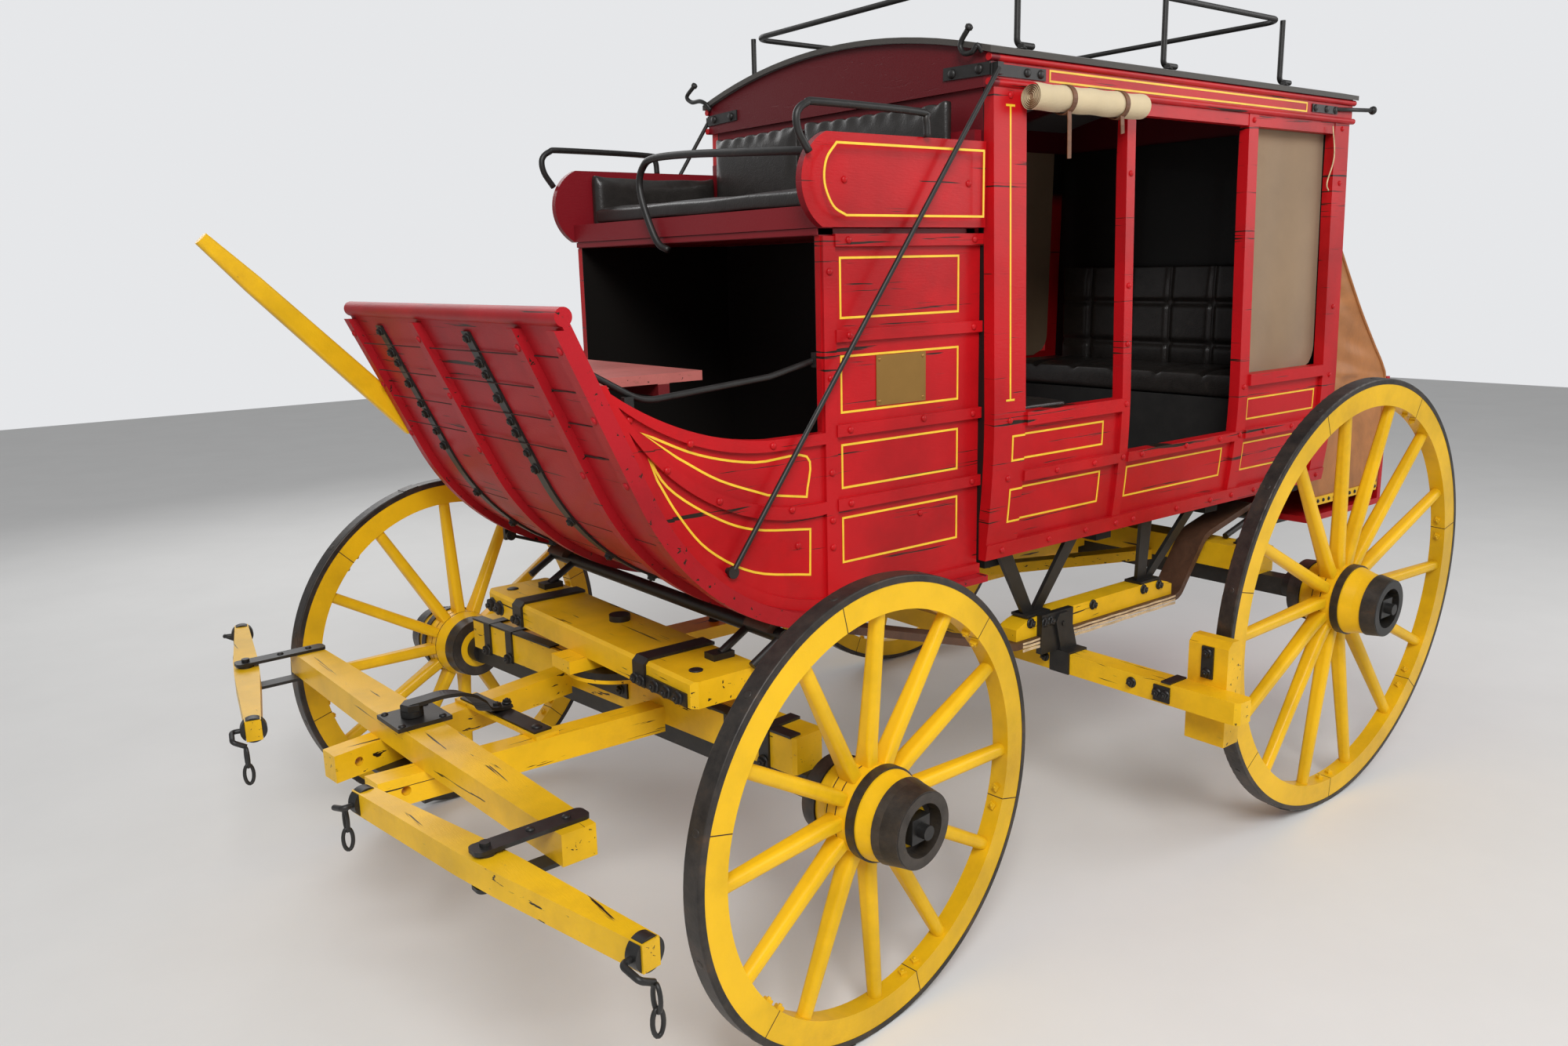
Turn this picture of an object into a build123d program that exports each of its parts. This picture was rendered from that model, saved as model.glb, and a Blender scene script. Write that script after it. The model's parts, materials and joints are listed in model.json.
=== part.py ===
import os
from math import asin, atan2, cos, degrees, radians, sin, sqrt

from build123d import *

os.makedirs("parts", exist_ok=True)

# Flat-sided stagecoach of the mud wagon pattern, slung on thoroughbraces.
# +X is forward, +Y is the coach's left, +Z is up. All sizes are millimetres.
# The coach is built about its own middle plane. Each piece is then moved sideways, so that the
# origin lies on the ground under the middle of the whole coach, with its hitch swung as it stands.

# Stations along the coach are measured from the front axle
FRONT_AXLE_X = 1070
WHEELBASE = 1934
MIDDLE_Y = -59

# Wheels
FRONT_TYRE_RADIUS = 523
REAR_TYRE_RADIUS = 661
TYRE_THICKNESS = 16
TYRE_WIDTH = 46
FELLOE_WIDTH = 44
FRONT_FELLOE_DEPTH = 58
REAR_FELLOE_DEPTH = 62
FRONT_RIM_Y = 901
REAR_RIM_Y = 978
FRONT_CAMBER = 1.0
REAR_CAMBER = 2.4
FRONT_SPOKES = 12
REAR_SPOKES = 14
DISH = 32
HUB_LENGTH = 268
HUB_OUTER = 128
HUB_FLANGE_RADIUS = 101
HUB_END_RADIUS = 80
HUB_BAND_THICKNESS = 5
ARM_RADIUS = 27
ARM_RUNNING_FIT = 0.05
ARM_RECESS = 34
ARM_RECESS_RADIUS = 60
HUB_CLEARANCE = 5

# Front gear, which turns about the king pin
STEER_REST = 6.1
FRONT_BED_HALF = 700
FRONT_BED_DEPTH = 96
FRONT_BED_BOTTOM = 556
FRONT_BED_TOP = 644
AXLE_BAR = 56
TURNTABLE_RADIUS = 150
PLATE_THICKNESS = 10
KING_PIN_RADIUS = 15
PIN_CLEARANCE = 0.05
HOUND_WIDTH = 62
HOUND_TOP = 602
HOUND_DEPTH = 66
HOUND_ROOT_Y = 205
HOUND_NOSE_Y = 108
HOUND_NOSE_X = 760
POLE_BOLT_RADIUS = 11
POLE_BOLT_X = 700

# Evener and singletrees
EVENER_X = 600
EVENER_REST = -4
EVENER_HALF = 745
EVENER_DEPTH = 92
EVENER_THICKNESS = 64
EVENER_GAP = 0
SINGLETREE_PIN_Y = 700
SINGLETREE_REACH = 165
SINGLETREE_HALF = 440
SINGLETREE_DEPTH = 62
SINGLETREE_THICKNESS = 50
SINGLETREE_LEFT_REST = 8
SINGLETREE_RIGHT_REST = -14.5

# Fixed running gear
BOLSTER_HALF = 540
BOLSTER_BACK = 30
BOLSTER_FRONT = 130
BOLSTER_TOP = 770
REAR_BED_HALF = 715
REAR_BED_BOTTOM = 690
REAR_BED_TOP = 768
REAR_BED_DEPTH = 100
REACH_WIDTH = 96
REACH_BOTTOM = 672
REACH_TOP = 706
ROLLER_X = -109
ROLLER_Z = 834
ROLLER_RADIUS = 18
ROLLER_HALF = 572
REAR_ROLLER_X = -2120
REAR_ROLLER_Z = 826
BRACE_Y = 500
BRACE_WIDTH = 92
BRACE_LAYER = 10
BRACE_LAYERS = 2
BRACE_LOW_Z = 606
REAR_SADDLE_X = -1866
REAR_SADDLE_Z = 784
BRACE_TURN_FRONT = -945
BRACE_TURN_REAR = -1730
ROCKER_WIDTH = 66
ROCKER_HEIGHT = 58
ROCKER_FRONT = -960
ROCKER_REAR = -1700

# Coach body
BODY_FRONT = -768
BODY_REAR = -2490
SIDE_TOP_Y = 582
SIDE_BELT_Y = 600
SIDE_SILL_Y = 572
WALL = 22
POST_PROUD = 12
SILL_BOTTOM = 904
SILL_TOP = 946
BELT_Z = 1290
RAIL_HEIGHT = 36
BATTEN_HEIGHT = 28
BATTEN_PROUD = 12
LOWER_BATTEN_Z = 1120
DOOR_SILL_Z = 1133
HEADER_BOTTOM = 2088
HEADER_TOP = 2165
HEADER_Y = 594
HEADER_WALL = 24
HEADER_FRONT = -756
HEADER_REAR = -2502
PILLAR_REAR = -888
DOOR_POST_FRONT = -1299
DOOR_POST_REAR = -1336
REAR_DOOR_POST_FRONT = -1894
REAR_DOOR_POST_REAR = -1945
CORNER_POST_FRONT = -2400
ROOF_RISE = 82
ROOF_THICKNESS = 14
FLOOR_THICKNESS = 22
PIECE_GAP = 0.3

# Front boot and driver's seat
BOOT_Y = 556
BOOT_REAR = BODY_FRONT + PIECE_GAP
BOOT_WALL = 20
BOOT_ARC_X = -300
BOOT_ARC_Z = 1470
BOOT_ARC_RADIUS = 600
BOOT_SWEEP = 65
BOOT_NOSE_Z = 1460
BOOT_RAIL_Z = 1296
BOOT_POST_X = -245
BOOT_TOP_Z = 1740
BOOT_FLOOR = 882
FOOT_THICKNESS = 18
FOOT_HALF = 598
FOOT_TOP_Z = 1590
RIB_WIDTH = 34
RIB_DEPTH = 20
SEAT_Y = 578
SEAT_SIDE_WALL = 20
SEAT_SIDE_BOTTOM = 1757
SEAT_SIDE_TOP = 1961
SEAT_SIDE_REAR = -762
SEAT_SIDE_NOSE = -178
ROD_RADIUS = 8
THIN_ROD_RADIUS = 6

# Curtains
ROLL_RADIUS = 34
SHEET = 8

# Rear boot
REAR_BOOT_REAR = -3040
REAR_BOOT_FLOOR_Z = 757
REAR_BOOT_HALF = 540
REAR_BOOT_TOP_Z = 1790
REAR_BOOT_LIP_Z = 1220

# Brake
BRAKE_PIVOT_X = -1135
BRAKE_PIVOT_Z = 652
BRAKE_PIN_RADIUS = 8
BRAKE_BEAM_FRONT = -1128
BRAKE_BEAM_DEPTH = 70
BRAKE_BEAM_TOP = 566
BRAKE_BEAM_HEIGHT = 60
BRAKE_BEAM_HALF = 1120
SHOE_Y = 984
SHOE_WIDTH = 116
SHOE_TOP = 692
SHOE_BOTTOM = 404
TYRE_TO_SHOE = 8
LEVER_Y = -626
LEVER_PIVOT_X = 10
LEVER_PIVOT_Z = 985
LEVER_TIP_X = 770
LEVER_TIP_Z = 1775
LEVER_ARM = 85
LEVER_PIN_RADIUS = 10
LEVER_IRON = 14
ROD_PIN_RADIUS = 6
ROD_EYE = 6
ROD_SLACK = 5
ROD_DROP = 32


def station(x):
    """Coach X of a station measured from the front axle."""
    return FRONT_AXLE_X + x


def block(x0, x1, y0, y1, z0, z1, mode=Mode.ADD):
    """Box between two corners, in the coordinates of the part that is being built."""
    with Locations(((x0 + x1) / 2, (y0 + y1) / 2, (z0 + z1) / 2)):
        Box(abs(x1 - x0), abs(y1 - y0), abs(z1 - z0), mode=mode)


def rod(points, radius, bend):
    """Round bar along straight runs joined by arcs of one bend radius."""
    with BuildLine() as path:
        if len(points) == 2:
            Line(*points)
        else:
            FilletPolyline(*points, radius=bend)
    with BuildSketch(Plane(origin=path.line @ 0, z_dir=path.line % 0)) as section:
        Circle(radius)
    sweep(sections=section.sketch, path=path.line)


def eye(centre, direction, outer, inner, width):
    """Flat ring, as forged at the end of a rod."""
    with BuildSketch(Plane(origin=centre, z_dir=direction)) as section:
        Circle(outer)
        Circle(inner, mode=Mode.SUBTRACT)
    extrude(section.sketch, amount=width / 2, both=True)


def place(plane, points):
    """Points given in a plane's own coordinates, as points of the coach."""
    return [plane.from_local_coords(Vector(*point)) for point in points]


def finish(part, name):
    placed = part.moved(Location((0, MIDDLE_Y, 0)))
    placed.label = name
    export_step(placed, f"parts/{name}.step")


# WHEELS
# Each is a turned hub, dished spokes with squared roots, and a felloe ring.


def wheel_plane(x, side, rim_y, radius, camber, turn=0):
    """Hub plane whose Z runs outward along the axle arm."""
    tilt = radians(camber)
    yaw = radians(turn)
    out = Vector(-side * sin(yaw) * cos(tilt), side * cos(yaw) * cos(tilt), -sin(tilt))
    centre = Vector(-side * sin(yaw) * rim_y, side * cos(yaw) * rim_y, radius * cos(tilt))
    along = Vector(cos(yaw), sin(yaw), 0)
    return Plane(origin=centre + Vector(x, 0, 0), x_dir=along, z_dir=out)


def hub_outline(outer_end, inner_end):
    """Half section of the hub: radius against distance along the arm."""
    with BuildLine() as outline:
        Polyline(
            (ARM_RADIUS + ARM_RUNNING_FIT, inner_end),
            (HUB_END_RADIUS + 4, inner_end),
            (HUB_END_RADIUS + 8, inner_end + 40),
            (HUB_FLANGE_RADIUS, inner_end + 78),
            (HUB_FLANGE_RADIUS, 30),
            (HUB_END_RADIUS + 12, 62),
            (HUB_END_RADIUS, outer_end),
            (ARM_RECESS_RADIUS, outer_end),
            (ARM_RECESS_RADIUS, outer_end - ARM_RECESS),
            (ARM_RADIUS + ARM_RUNNING_FIT, outer_end - ARM_RECESS),
            close=True,
        )
    make_face(outline.edges())


def spoked_wheel(radius, spokes, felloe_depth):
    """Wooden wheel about its own Z axis, with the rim's middle at Z = 0."""
    felloe_outer = radius - TYRE_THICKNESS
    felloe_inner = felloe_outer - felloe_depth
    outer_end = HUB_OUTER
    inner_end = HUB_OUTER - HUB_LENGTH
    root_z = -DISH
    with BuildPart() as spoke:
        with BuildSketch(Plane.YZ.offset(HUB_FLANGE_RADIUS - 12)):
            with Locations((0, root_z)):
                RectangleRounded(30, 48, 5)
        with BuildSketch(Plane.YZ.offset(HUB_FLANGE_RADIUS + 52)):
            with Locations((0, root_z * 0.86)):
                RectangleRounded(34, 44, 14)
        with BuildSketch(Plane.YZ.offset(felloe_inner + 8)):
            with Locations((0, -2)):
                RectangleRounded(31, 31, 13)
        loft(ruled=True)
    with BuildPart() as wheel:
        with BuildSketch(Plane.XZ):
            hub_outline(outer_end, inner_end)
        revolve(axis=Axis.Z)
        with BuildSketch(Plane.XZ):
            with Locations(((felloe_outer + felloe_inner) / 2, 0)):
                Rectangle(felloe_depth, FELLOE_WIDTH)
        revolve(axis=Axis.Z)
        with PolarLocations(0, spokes):
            add(spoke.part)
    return wheel.part


def wheel_iron(radius):
    """Tyre, flange band and both hub end bands, about the wheel's own Z axis."""
    outer_end = HUB_OUTER
    inner_end = HUB_OUTER - HUB_LENGTH
    with BuildPart() as iron:
        with BuildSketch(Plane.XZ):
            with Locations((radius - TYRE_THICKNESS / 2, 0)):
                Rectangle(TYRE_THICKNESS, TYRE_WIDTH)
            vertex_pair = vertices().sort_by(Axis.X)[-2:]
            fillet(vertex_pair, 4)
            with BuildLine():
                Polyline(
                    (HUB_FLANGE_RADIUS, 4),
                    (HUB_FLANGE_RADIUS + HUB_BAND_THICKNESS, 4),
                    (HUB_FLANGE_RADIUS + HUB_BAND_THICKNESS, 26),
                    (HUB_FLANGE_RADIUS, 26),
                    close=True,
                )
            make_face()
            with BuildLine():
                Polyline(
                    (HUB_END_RADIUS + 7.7, 86),
                    (HUB_END_RADIUS + 12, 86),
                    (HUB_END_RADIUS + 5, outer_end),
                    (HUB_END_RADIUS, outer_end),
                    close=True,
                )
            make_face()
            with BuildLine():
                Polyline(
                    (HUB_END_RADIUS + 4, inner_end),
                    (HUB_END_RADIUS + 9, inner_end),
                    (HUB_END_RADIUS + 13, inner_end + 40),
                    (HUB_END_RADIUS + 8, inner_end + 40),
                    close=True,
                )
            make_face()
        revolve(axis=Axis.Z)
    return iron.part


FRONT_CENTRE_Z = FRONT_TYRE_RADIUS * cos(radians(FRONT_CAMBER))
REAR_CENTRE_Z = REAR_TYRE_RADIUS * cos(radians(REAR_CAMBER))

# name, station, side, rim Y, tyre radius, camber, steer, spokes, felloe depth
WHEELS = [
    ("wheel_front_left", 0, 1, FRONT_RIM_Y, FRONT_TYRE_RADIUS, FRONT_CAMBER, STEER_REST,
     FRONT_SPOKES, FRONT_FELLOE_DEPTH),
    ("wheel_front_right", 0, -1, FRONT_RIM_Y, FRONT_TYRE_RADIUS, FRONT_CAMBER, STEER_REST,
     FRONT_SPOKES, FRONT_FELLOE_DEPTH),
    ("wheel_rear_left", -WHEELBASE, 1, REAR_RIM_Y, REAR_TYRE_RADIUS, REAR_CAMBER, 0,
     REAR_SPOKES, REAR_FELLOE_DEPTH),
    ("wheel_rear_right", -WHEELBASE, -1, REAR_RIM_Y, REAR_TYRE_RADIUS, REAR_CAMBER, 0,
     REAR_SPOKES, REAR_FELLOE_DEPTH),
]

for name, axle_x, side, rim_y, radius, camber, turn, spokes, felloe in WHEELS:
    hub_plane = wheel_plane(station(axle_x), side, rim_y, radius, camber, turn)
    turned_wheel = spoked_wheel(radius, spokes, felloe)
    with BuildPart() as wood:
        with Locations(hub_plane.location):
            add(turned_wheel)
    finish(wood.part, name)
    turned_iron = wheel_iron(radius)
    with BuildPart() as iron:
        with Locations(hub_plane.location):
            add(turned_iron)
    finish(iron.part, name.replace("wheel", "tyre"))
    print(name, "axis", [round(v, 5) for v in hub_plane.z_dir],
          "centre", [round(v, 3) for v in hub_plane.origin])


def axle_arms(x, rim_y, radius, camber, turn, bar_z):
    """Square axle bar with a turned arm and nut at each end."""
    inner_end = HUB_OUTER - HUB_LENGTH
    bar_half = rim_y + inner_end - HUB_CLEARANCE - 24
    middle = Plane(origin=(x, 0, 0), x_dir=(cos(radians(turn)), sin(radians(turn)), 0), z_dir=(0, 0, 1))
    with BuildPart(middle) as axle:
        block(-AXLE_BAR / 2, AXLE_BAR / 2, -bar_half, bar_half, bar_z - AXLE_BAR / 2, bar_z + AXLE_BAR / 2)
        for side in (1, -1):
            arm = wheel_plane(x, side, rim_y, radius, camber, turn)
            with BuildSketch(arm.offset(inner_end - HUB_CLEARANCE - 40)):
                Circle(ARM_RADIUS + 14)
            extrude(amount=40)
            with BuildSketch(arm.offset(inner_end - HUB_CLEARANCE - 1)):
                Circle(ARM_RADIUS)
            extrude(amount=HUB_LENGTH + HUB_CLEARANCE - ARM_RECESS + 4)
            with BuildSketch(arm.offset(HUB_OUTER - ARM_RECESS + 2)):
                Rectangle(56, 56)
            extrude(amount=26)
            with BuildSketch(arm.offset(HUB_OUTER - 8)):
                Circle(16)
            extrude(amount=24)
    return axle.part


# FRONT GEAR
# It is built in its own plane, turned about the king pin by its rest angle.
gear = Plane(
    origin=(FRONT_AXLE_X, 0, 0),
    x_dir=(cos(radians(STEER_REST)), sin(radians(STEER_REST)), 0),
    z_dir=(0, 0, 1),
)

finish(axle_arms(FRONT_AXLE_X, FRONT_RIM_Y, FRONT_TYRE_RADIUS, FRONT_CAMBER, STEER_REST,
                 FRONT_BED_BOTTOM - AXLE_BAR / 2), "front_axle")

with BuildPart(gear) as front_bed:
    block(-FRONT_BED_DEPTH / 2, FRONT_BED_DEPTH / 2, -FRONT_BED_HALF, FRONT_BED_HALF,
          FRONT_BED_BOTTOM, FRONT_BED_TOP)
    chamfer(front_bed.edges().filter_by(Axis.Z), 8)
    with Locations((0, 0, FRONT_BED_TOP)):
        Cylinder(TURNTABLE_RADIUS, PLATE_THICKNESS, align=(Align.CENTER, Align.CENTER, Align.MIN))
        Cylinder(KING_PIN_RADIUS + PIN_CLEARANCE, 400, mode=Mode.SUBTRACT)
finish(front_bed.part, "front_axle_bed")

with BuildPart(gear) as hounds:
    for side in (1, -1):
        with BuildSketch(gear.offset(HOUND_TOP - HOUND_DEPTH)):
            with BuildLine():
                Polyline(
                    (FRONT_BED_DEPTH / 2, side * (HOUND_ROOT_Y + HOUND_WIDTH / 2)),
                    (HOUND_NOSE_X, side * (HOUND_NOSE_Y + HOUND_WIDTH / 2)),
                    (HOUND_NOSE_X, side * (HOUND_NOSE_Y - HOUND_WIDTH / 2)),
                    (FRONT_BED_DEPTH / 2, side * (HOUND_ROOT_Y - HOUND_WIDTH / 2)),
                    close=True,
                )
            make_face()
        extrude(amount=HOUND_DEPTH)
    block(330, 392, -190, 190, HOUND_TOP, HOUND_TOP + 10)
    with Locations((POLE_BOLT_X, 0, HOUND_TOP - HOUND_DEPTH / 2)):
        Cylinder(POLE_BOLT_RADIUS, 400, rotation=(90, 0, 0), mode=Mode.SUBTRACT)
    with Locations((EVENER_X, 0, 0)):
        Cylinder(KING_PIN_RADIUS, 700, mode=Mode.SUBTRACT)
finish(hounds.part, "hounds")

# The jaw plate under the hounds holds the evener bolt between them
with BuildPart(gear) as jaw:
    block(EVENER_X - 62, EVENER_X + 62, -150, 150, HOUND_TOP - HOUND_DEPTH - 10, HOUND_TOP - HOUND_DEPTH)
    with Locations((EVENER_X, 0, HOUND_TOP - HOUND_DEPTH)):
        Cylinder(KING_PIN_RADIUS - PIN_CLEARANCE, HOUND_DEPTH + EVENER_GAP + EVENER_THICKNESS + 22,
                 align=(Align.CENTER, Align.CENTER, Align.MIN))
    with Locations((EVENER_X, 0, HOUND_TOP + EVENER_GAP + EVENER_THICKNESS + 12)):
        Cylinder(26, 14, align=(Align.CENTER, Align.CENTER, Align.MIN))
finish(jaw.part, "evener_bolt")

# EVENER AND SINGLETREES
EVENER_BOTTOM = HOUND_TOP + EVENER_GAP
EVENER_TOP = EVENER_BOTTOM + EVENER_THICKNESS
SINGLETREE_GAP = (EVENER_THICKNESS - SINGLETREE_THICKNESS) / 2


def turned(plane, x, y, angle):
    """Horizontal plane at a point of another one, turned by an angle."""
    origin = plane.from_local_coords(Vector(x, y, 0))
    direction = plane.x_dir.rotate(Axis.Z, angle)
    return Plane(origin=origin, x_dir=direction, z_dir=(0, 0, 1))


evener_plane = turned(gear, EVENER_X, 0, EVENER_REST)

with BuildPart(evener_plane) as evener:
    with BuildSketch(evener_plane.offset(EVENER_BOTTOM)):
        with BuildLine():
            Polyline(
                (-EVENER_DEPTH / 2, -160), (-EVENER_DEPTH * 0.4, -EVENER_HALF),
                (EVENER_DEPTH * 0.4, -EVENER_HALF), (EVENER_DEPTH / 2, -160),
                (EVENER_DEPTH / 2, 160), (EVENER_DEPTH * 0.4, EVENER_HALF),
                (-EVENER_DEPTH * 0.4, EVENER_HALF), (-EVENER_DEPTH / 2, 160),
                close=True,
            )
        make_face()
    extrude(amount=EVENER_THICKNESS)
    with Locations((0, 0, EVENER_BOTTOM)):
        Cylinder(KING_PIN_RADIUS + PIN_CLEARANCE, 400, mode=Mode.SUBTRACT)
finish(evener.part, "evener")

with BuildPart(evener_plane) as evener_iron:
    for side in (1, -1):
        for z0 in (EVENER_TOP, EVENER_BOTTOM - 8):
            with BuildSketch(evener_plane.offset(z0)):
                with Locations((SINGLETREE_REACH / 2 - 8, side * SINGLETREE_PIN_Y)):
                    RectangleRounded(SINGLETREE_REACH + 70, 44, 14)
            extrude(amount=8)
        with Locations((SINGLETREE_REACH, side * SINGLETREE_PIN_Y, EVENER_BOTTOM - 8)):
            Cylinder(10, EVENER_THICKNESS + 16 + 8, align=(Align.CENTER, Align.CENTER, Align.MIN))
        for z0 in (EVENER_BOTTOM, EVENER_TOP - SINGLETREE_GAP):
            with Locations((SINGLETREE_REACH, side * SINGLETREE_PIN_Y, z0)):
                Cylinder(20, SINGLETREE_GAP, align=(Align.CENTER, Align.CENTER, Align.MIN))
    block(-70, 60, -62, 62, EVENER_TOP, EVENER_TOP + 10)
    with Locations((0, 0, EVENER_BOTTOM)):
        Cylinder(KING_PIN_RADIUS + PIN_CLEARANCE, 400, mode=Mode.SUBTRACT)
finish(evener_iron.part, "evener_irons")

SINGLETREE_BOTTOM = EVENER_BOTTOM + (EVENER_THICKNESS - SINGLETREE_THICKNESS) / 2
# name, side, rest angle about its pin
SINGLETREES = [
    ("singletree_left", 1, SINGLETREE_LEFT_REST),
    ("singletree_right", -1, SINGLETREE_RIGHT_REST),
]
for name, side, rest in SINGLETREES:
    pin = turned(evener_plane, SINGLETREE_REACH, side * SINGLETREE_PIN_Y, rest)
    with BuildPart(pin) as bar:
        with BuildSketch(pin.offset(SINGLETREE_BOTTOM)):
            with BuildLine():
                for end in (1, -1):
                    Line((end * SINGLETREE_DEPTH / 2, -60), (end * SINGLETREE_DEPTH / 2, 60))
                    Line((end * SINGLETREE_DEPTH / 2, 60), (end * 18, SINGLETREE_HALF))
                    Line((end * SINGLETREE_DEPTH / 2, -60), (end * 18, -SINGLETREE_HALF))
                Line((18, SINGLETREE_HALF), (-18, SINGLETREE_HALF))
                Line((18, -SINGLETREE_HALF), (-18, -SINGLETREE_HALF))
            make_face()
        extrude(amount=SINGLETREE_THICKNESS)
        with Locations((0, 0, SINGLETREE_BOTTOM)):
            Cylinder(10 + PIN_CLEARANCE, 400, mode=Mode.SUBTRACT)
    finish(bar.part, name)
    middle_z = SINGLETREE_BOTTOM + SINGLETREE_THICKNESS / 2
    with BuildPart(pin) as irons:
        for end in (1, -1):
            with Locations((0, end * (SINGLETREE_HALF - 16), middle_z)):
                Cylinder(30, 26, rotation=(90, 0, 0))
            with Locations((0, end * (SINGLETREE_HALF - 16), middle_z)):
                Box(38, 26, SINGLETREE_THICKNESS + 1, mode=Mode.SUBTRACT)
        for end in (1, -1):
            start = (23, end * (SINGLETREE_HALF - 16), middle_z)
            rod(place(pin, [start, (48, end * (SINGLETREE_HALF - 16), middle_z),
                            (48, end * (SINGLETREE_HALF + 26), middle_z - 10),
                            (20, end * (SINGLETREE_HALF + 26), middle_z - 26)]), THIN_ROD_RADIUS, 9)
    finish(irons.part, f"{name}_irons")

# FIXED RUNNING GEAR
front_x = station(0)
with BuildPart() as bolster:
    block(station(BOLSTER_BACK - 100), station(BOLSTER_FRONT), -BOLSTER_HALF, BOLSTER_HALF,
          REACH_TOP, BOLSTER_TOP)
    chamfer(bolster.edges().filter_by(Axis.Y).group_by(Axis.Z)[-1], 8)
    chamfer(bolster.edges().filter_by(Axis.Z), 14)
    with Locations((front_x, 0, 0)):
        Cylinder(KING_PIN_RADIUS + PIN_CLEARANCE, 2000, mode=Mode.SUBTRACT)
finish(bolster.part, "front_bolster")

with BuildPart() as turntable:
    plate_z = FRONT_BED_TOP + PLATE_THICKNESS
    with Locations((front_x, 0, plate_z)):
        Cylinder(TURNTABLE_RADIUS, REACH_BOTTOM - plate_z, align=(Align.CENTER, Align.CENTER, Align.MIN))
    with Locations((front_x, 0, FRONT_BED_BOTTOM + 4)):
        Cylinder(KING_PIN_RADIUS, BOLSTER_TOP + 16 - FRONT_BED_BOTTOM - 4,
                 align=(Align.CENTER, Align.CENTER, Align.MIN))
    with Locations((front_x, 0, BOLSTER_TOP)):
        Cylinder(28, 16, align=(Align.CENTER, Align.CENTER, Align.MIN))
finish(turntable.part, "king_pin")

with BuildPart() as reach:
    block(station(-WHEELBASE + REAR_BED_DEPTH / 2), station(180), -REACH_WIDTH / 2, REACH_WIDTH / 2,
          REACH_BOTTOM, REACH_TOP)
    block(station(-WHEELBASE + REAR_BED_DEPTH / 2), station(-560), -22, 22, REACH_BOTTOM - 50, REACH_BOTTOM)
    for side in (1, -1):
        with BuildSketch(Plane.XY.offset(REACH_BOTTOM)):
            with BuildLine():
                Polyline(
                    (station(-1180), side * REACH_WIDTH / 2),
                    (station(-WHEELBASE + REAR_BED_DEPTH / 2), side * 330),
                    (station(-WHEELBASE + REAR_BED_DEPTH / 2), side * 270),
                    (station(-1300), side * REACH_WIDTH / 2),
                    close=True,
                )
            make_face()
        extrude(amount=REACH_TOP - REACH_BOTTOM)
    with Locations((front_x, 0, 0)):
        Cylinder(KING_PIN_RADIUS + PIN_CLEARANCE, 2000, mode=Mode.SUBTRACT)
finish(reach.part, "reach")

rear_x = station(-WHEELBASE)
with BuildPart() as rear_bed:
    block(rear_x - REAR_BED_DEPTH / 2, rear_x + REAR_BED_DEPTH / 2, -REAR_BED_HALF, REAR_BED_HALF,
          REAR_BED_BOTTOM, REAR_BED_TOP)
    chamfer(rear_bed.edges().filter_by(Axis.Z), 10)
finish(rear_bed.part, "rear_axle_bed")
finish(axle_arms(rear_x, REAR_RIM_Y, REAR_TYRE_RADIUS, REAR_CAMBER, 0, 
                 REAR_BED_BOTTOM - AXLE_BAR / 2), "rear_axle")


def jack(x, bar_z, foot_z, foot_x):
    """Iron stand at each end of a cross roller that carries both thoroughbraces."""
    with Locations((station(x), 0, bar_z)):
        Cylinder(ROLLER_RADIUS, 2 * ROLLER_HALF, rotation=(90, 0, 0))
    for side in (1, -1):
        for y in (BRACE_Y - BRACE_WIDTH / 2 - 20, BRACE_Y + BRACE_WIDTH / 2 + 14):
            rod([(station(foot_x), side * y, foot_z), (station(x), side * y, bar_z)], 10, 0)
        block(station(foot_x) - 30, station(foot_x) + 30, side * (BRACE_Y - 90), side * (BRACE_Y - 50),
              foot_z - 12, foot_z + 4)


with BuildPart() as stands:
    jack(ROLLER_X, ROLLER_Z, BOLSTER_TOP + 12, -20)
    jack(REAR_ROLLER_X, REAR_ROLLER_Z, REAR_BED_TOP + 12, -WHEELBASE - 15)
finish(stands.part, "brace_stands")

BRACE_THICKNESS = BRACE_LAYER * BRACE_LAYERS


def wrap(x, z, next_x, next_z, way):
    """Arc of leather over a roller, from its free side to where the strap leaves for its next turn."""
    radius = ROLLER_RADIUS + PIECE_GAP
    run = Vector(next_x - x, next_z - z)
    drop = degrees(atan2(-run.Y, abs(run.X)) + asin(radius / run.length))
    angles = [90 + way * 70, 90 + way * 20, 90 - way * drop]
    points = [(station(x) + radius * cos(radians(a)), z + radius * sin(radians(a))) for a in angles]
    return points, drop


with BuildPart() as braces:
    for side in (1, -1):
        with BuildSketch(Plane.XZ.offset(-side * BRACE_Y)):
            with BuildLine():
                front_wrap, front_lift = wrap(ROLLER_X, ROLLER_Z, BRACE_TURN_FRONT, BRACE_LOW_Z, -1)
                rear_wrap, rear_lift = wrap(REAR_ROLLER_X, REAR_ROLLER_Z, REAR_SADDLE_X, REAR_SADDLE_Z, 1)
                ThreePointArc(*front_wrap)
                FilletPolyline(
                    front_wrap[2],
                    (station(BRACE_TURN_FRONT), BRACE_LOW_Z),
                    (station(BRACE_TURN_REAR), BRACE_LOW_Z),
                    (station(REAR_SADDLE_X), REAR_SADDLE_Z),
                    rear_wrap[2],
                    radius=60,
                )
                ThreePointArc(*reversed(rear_wrap))
                offset(amount=BRACE_THICKNESS, side=Side.RIGHT, closed=True)
            make_face()
        extrude(amount=BRACE_WIDTH / 2, both=True)
finish(braces.part, "thoroughbraces")

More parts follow.
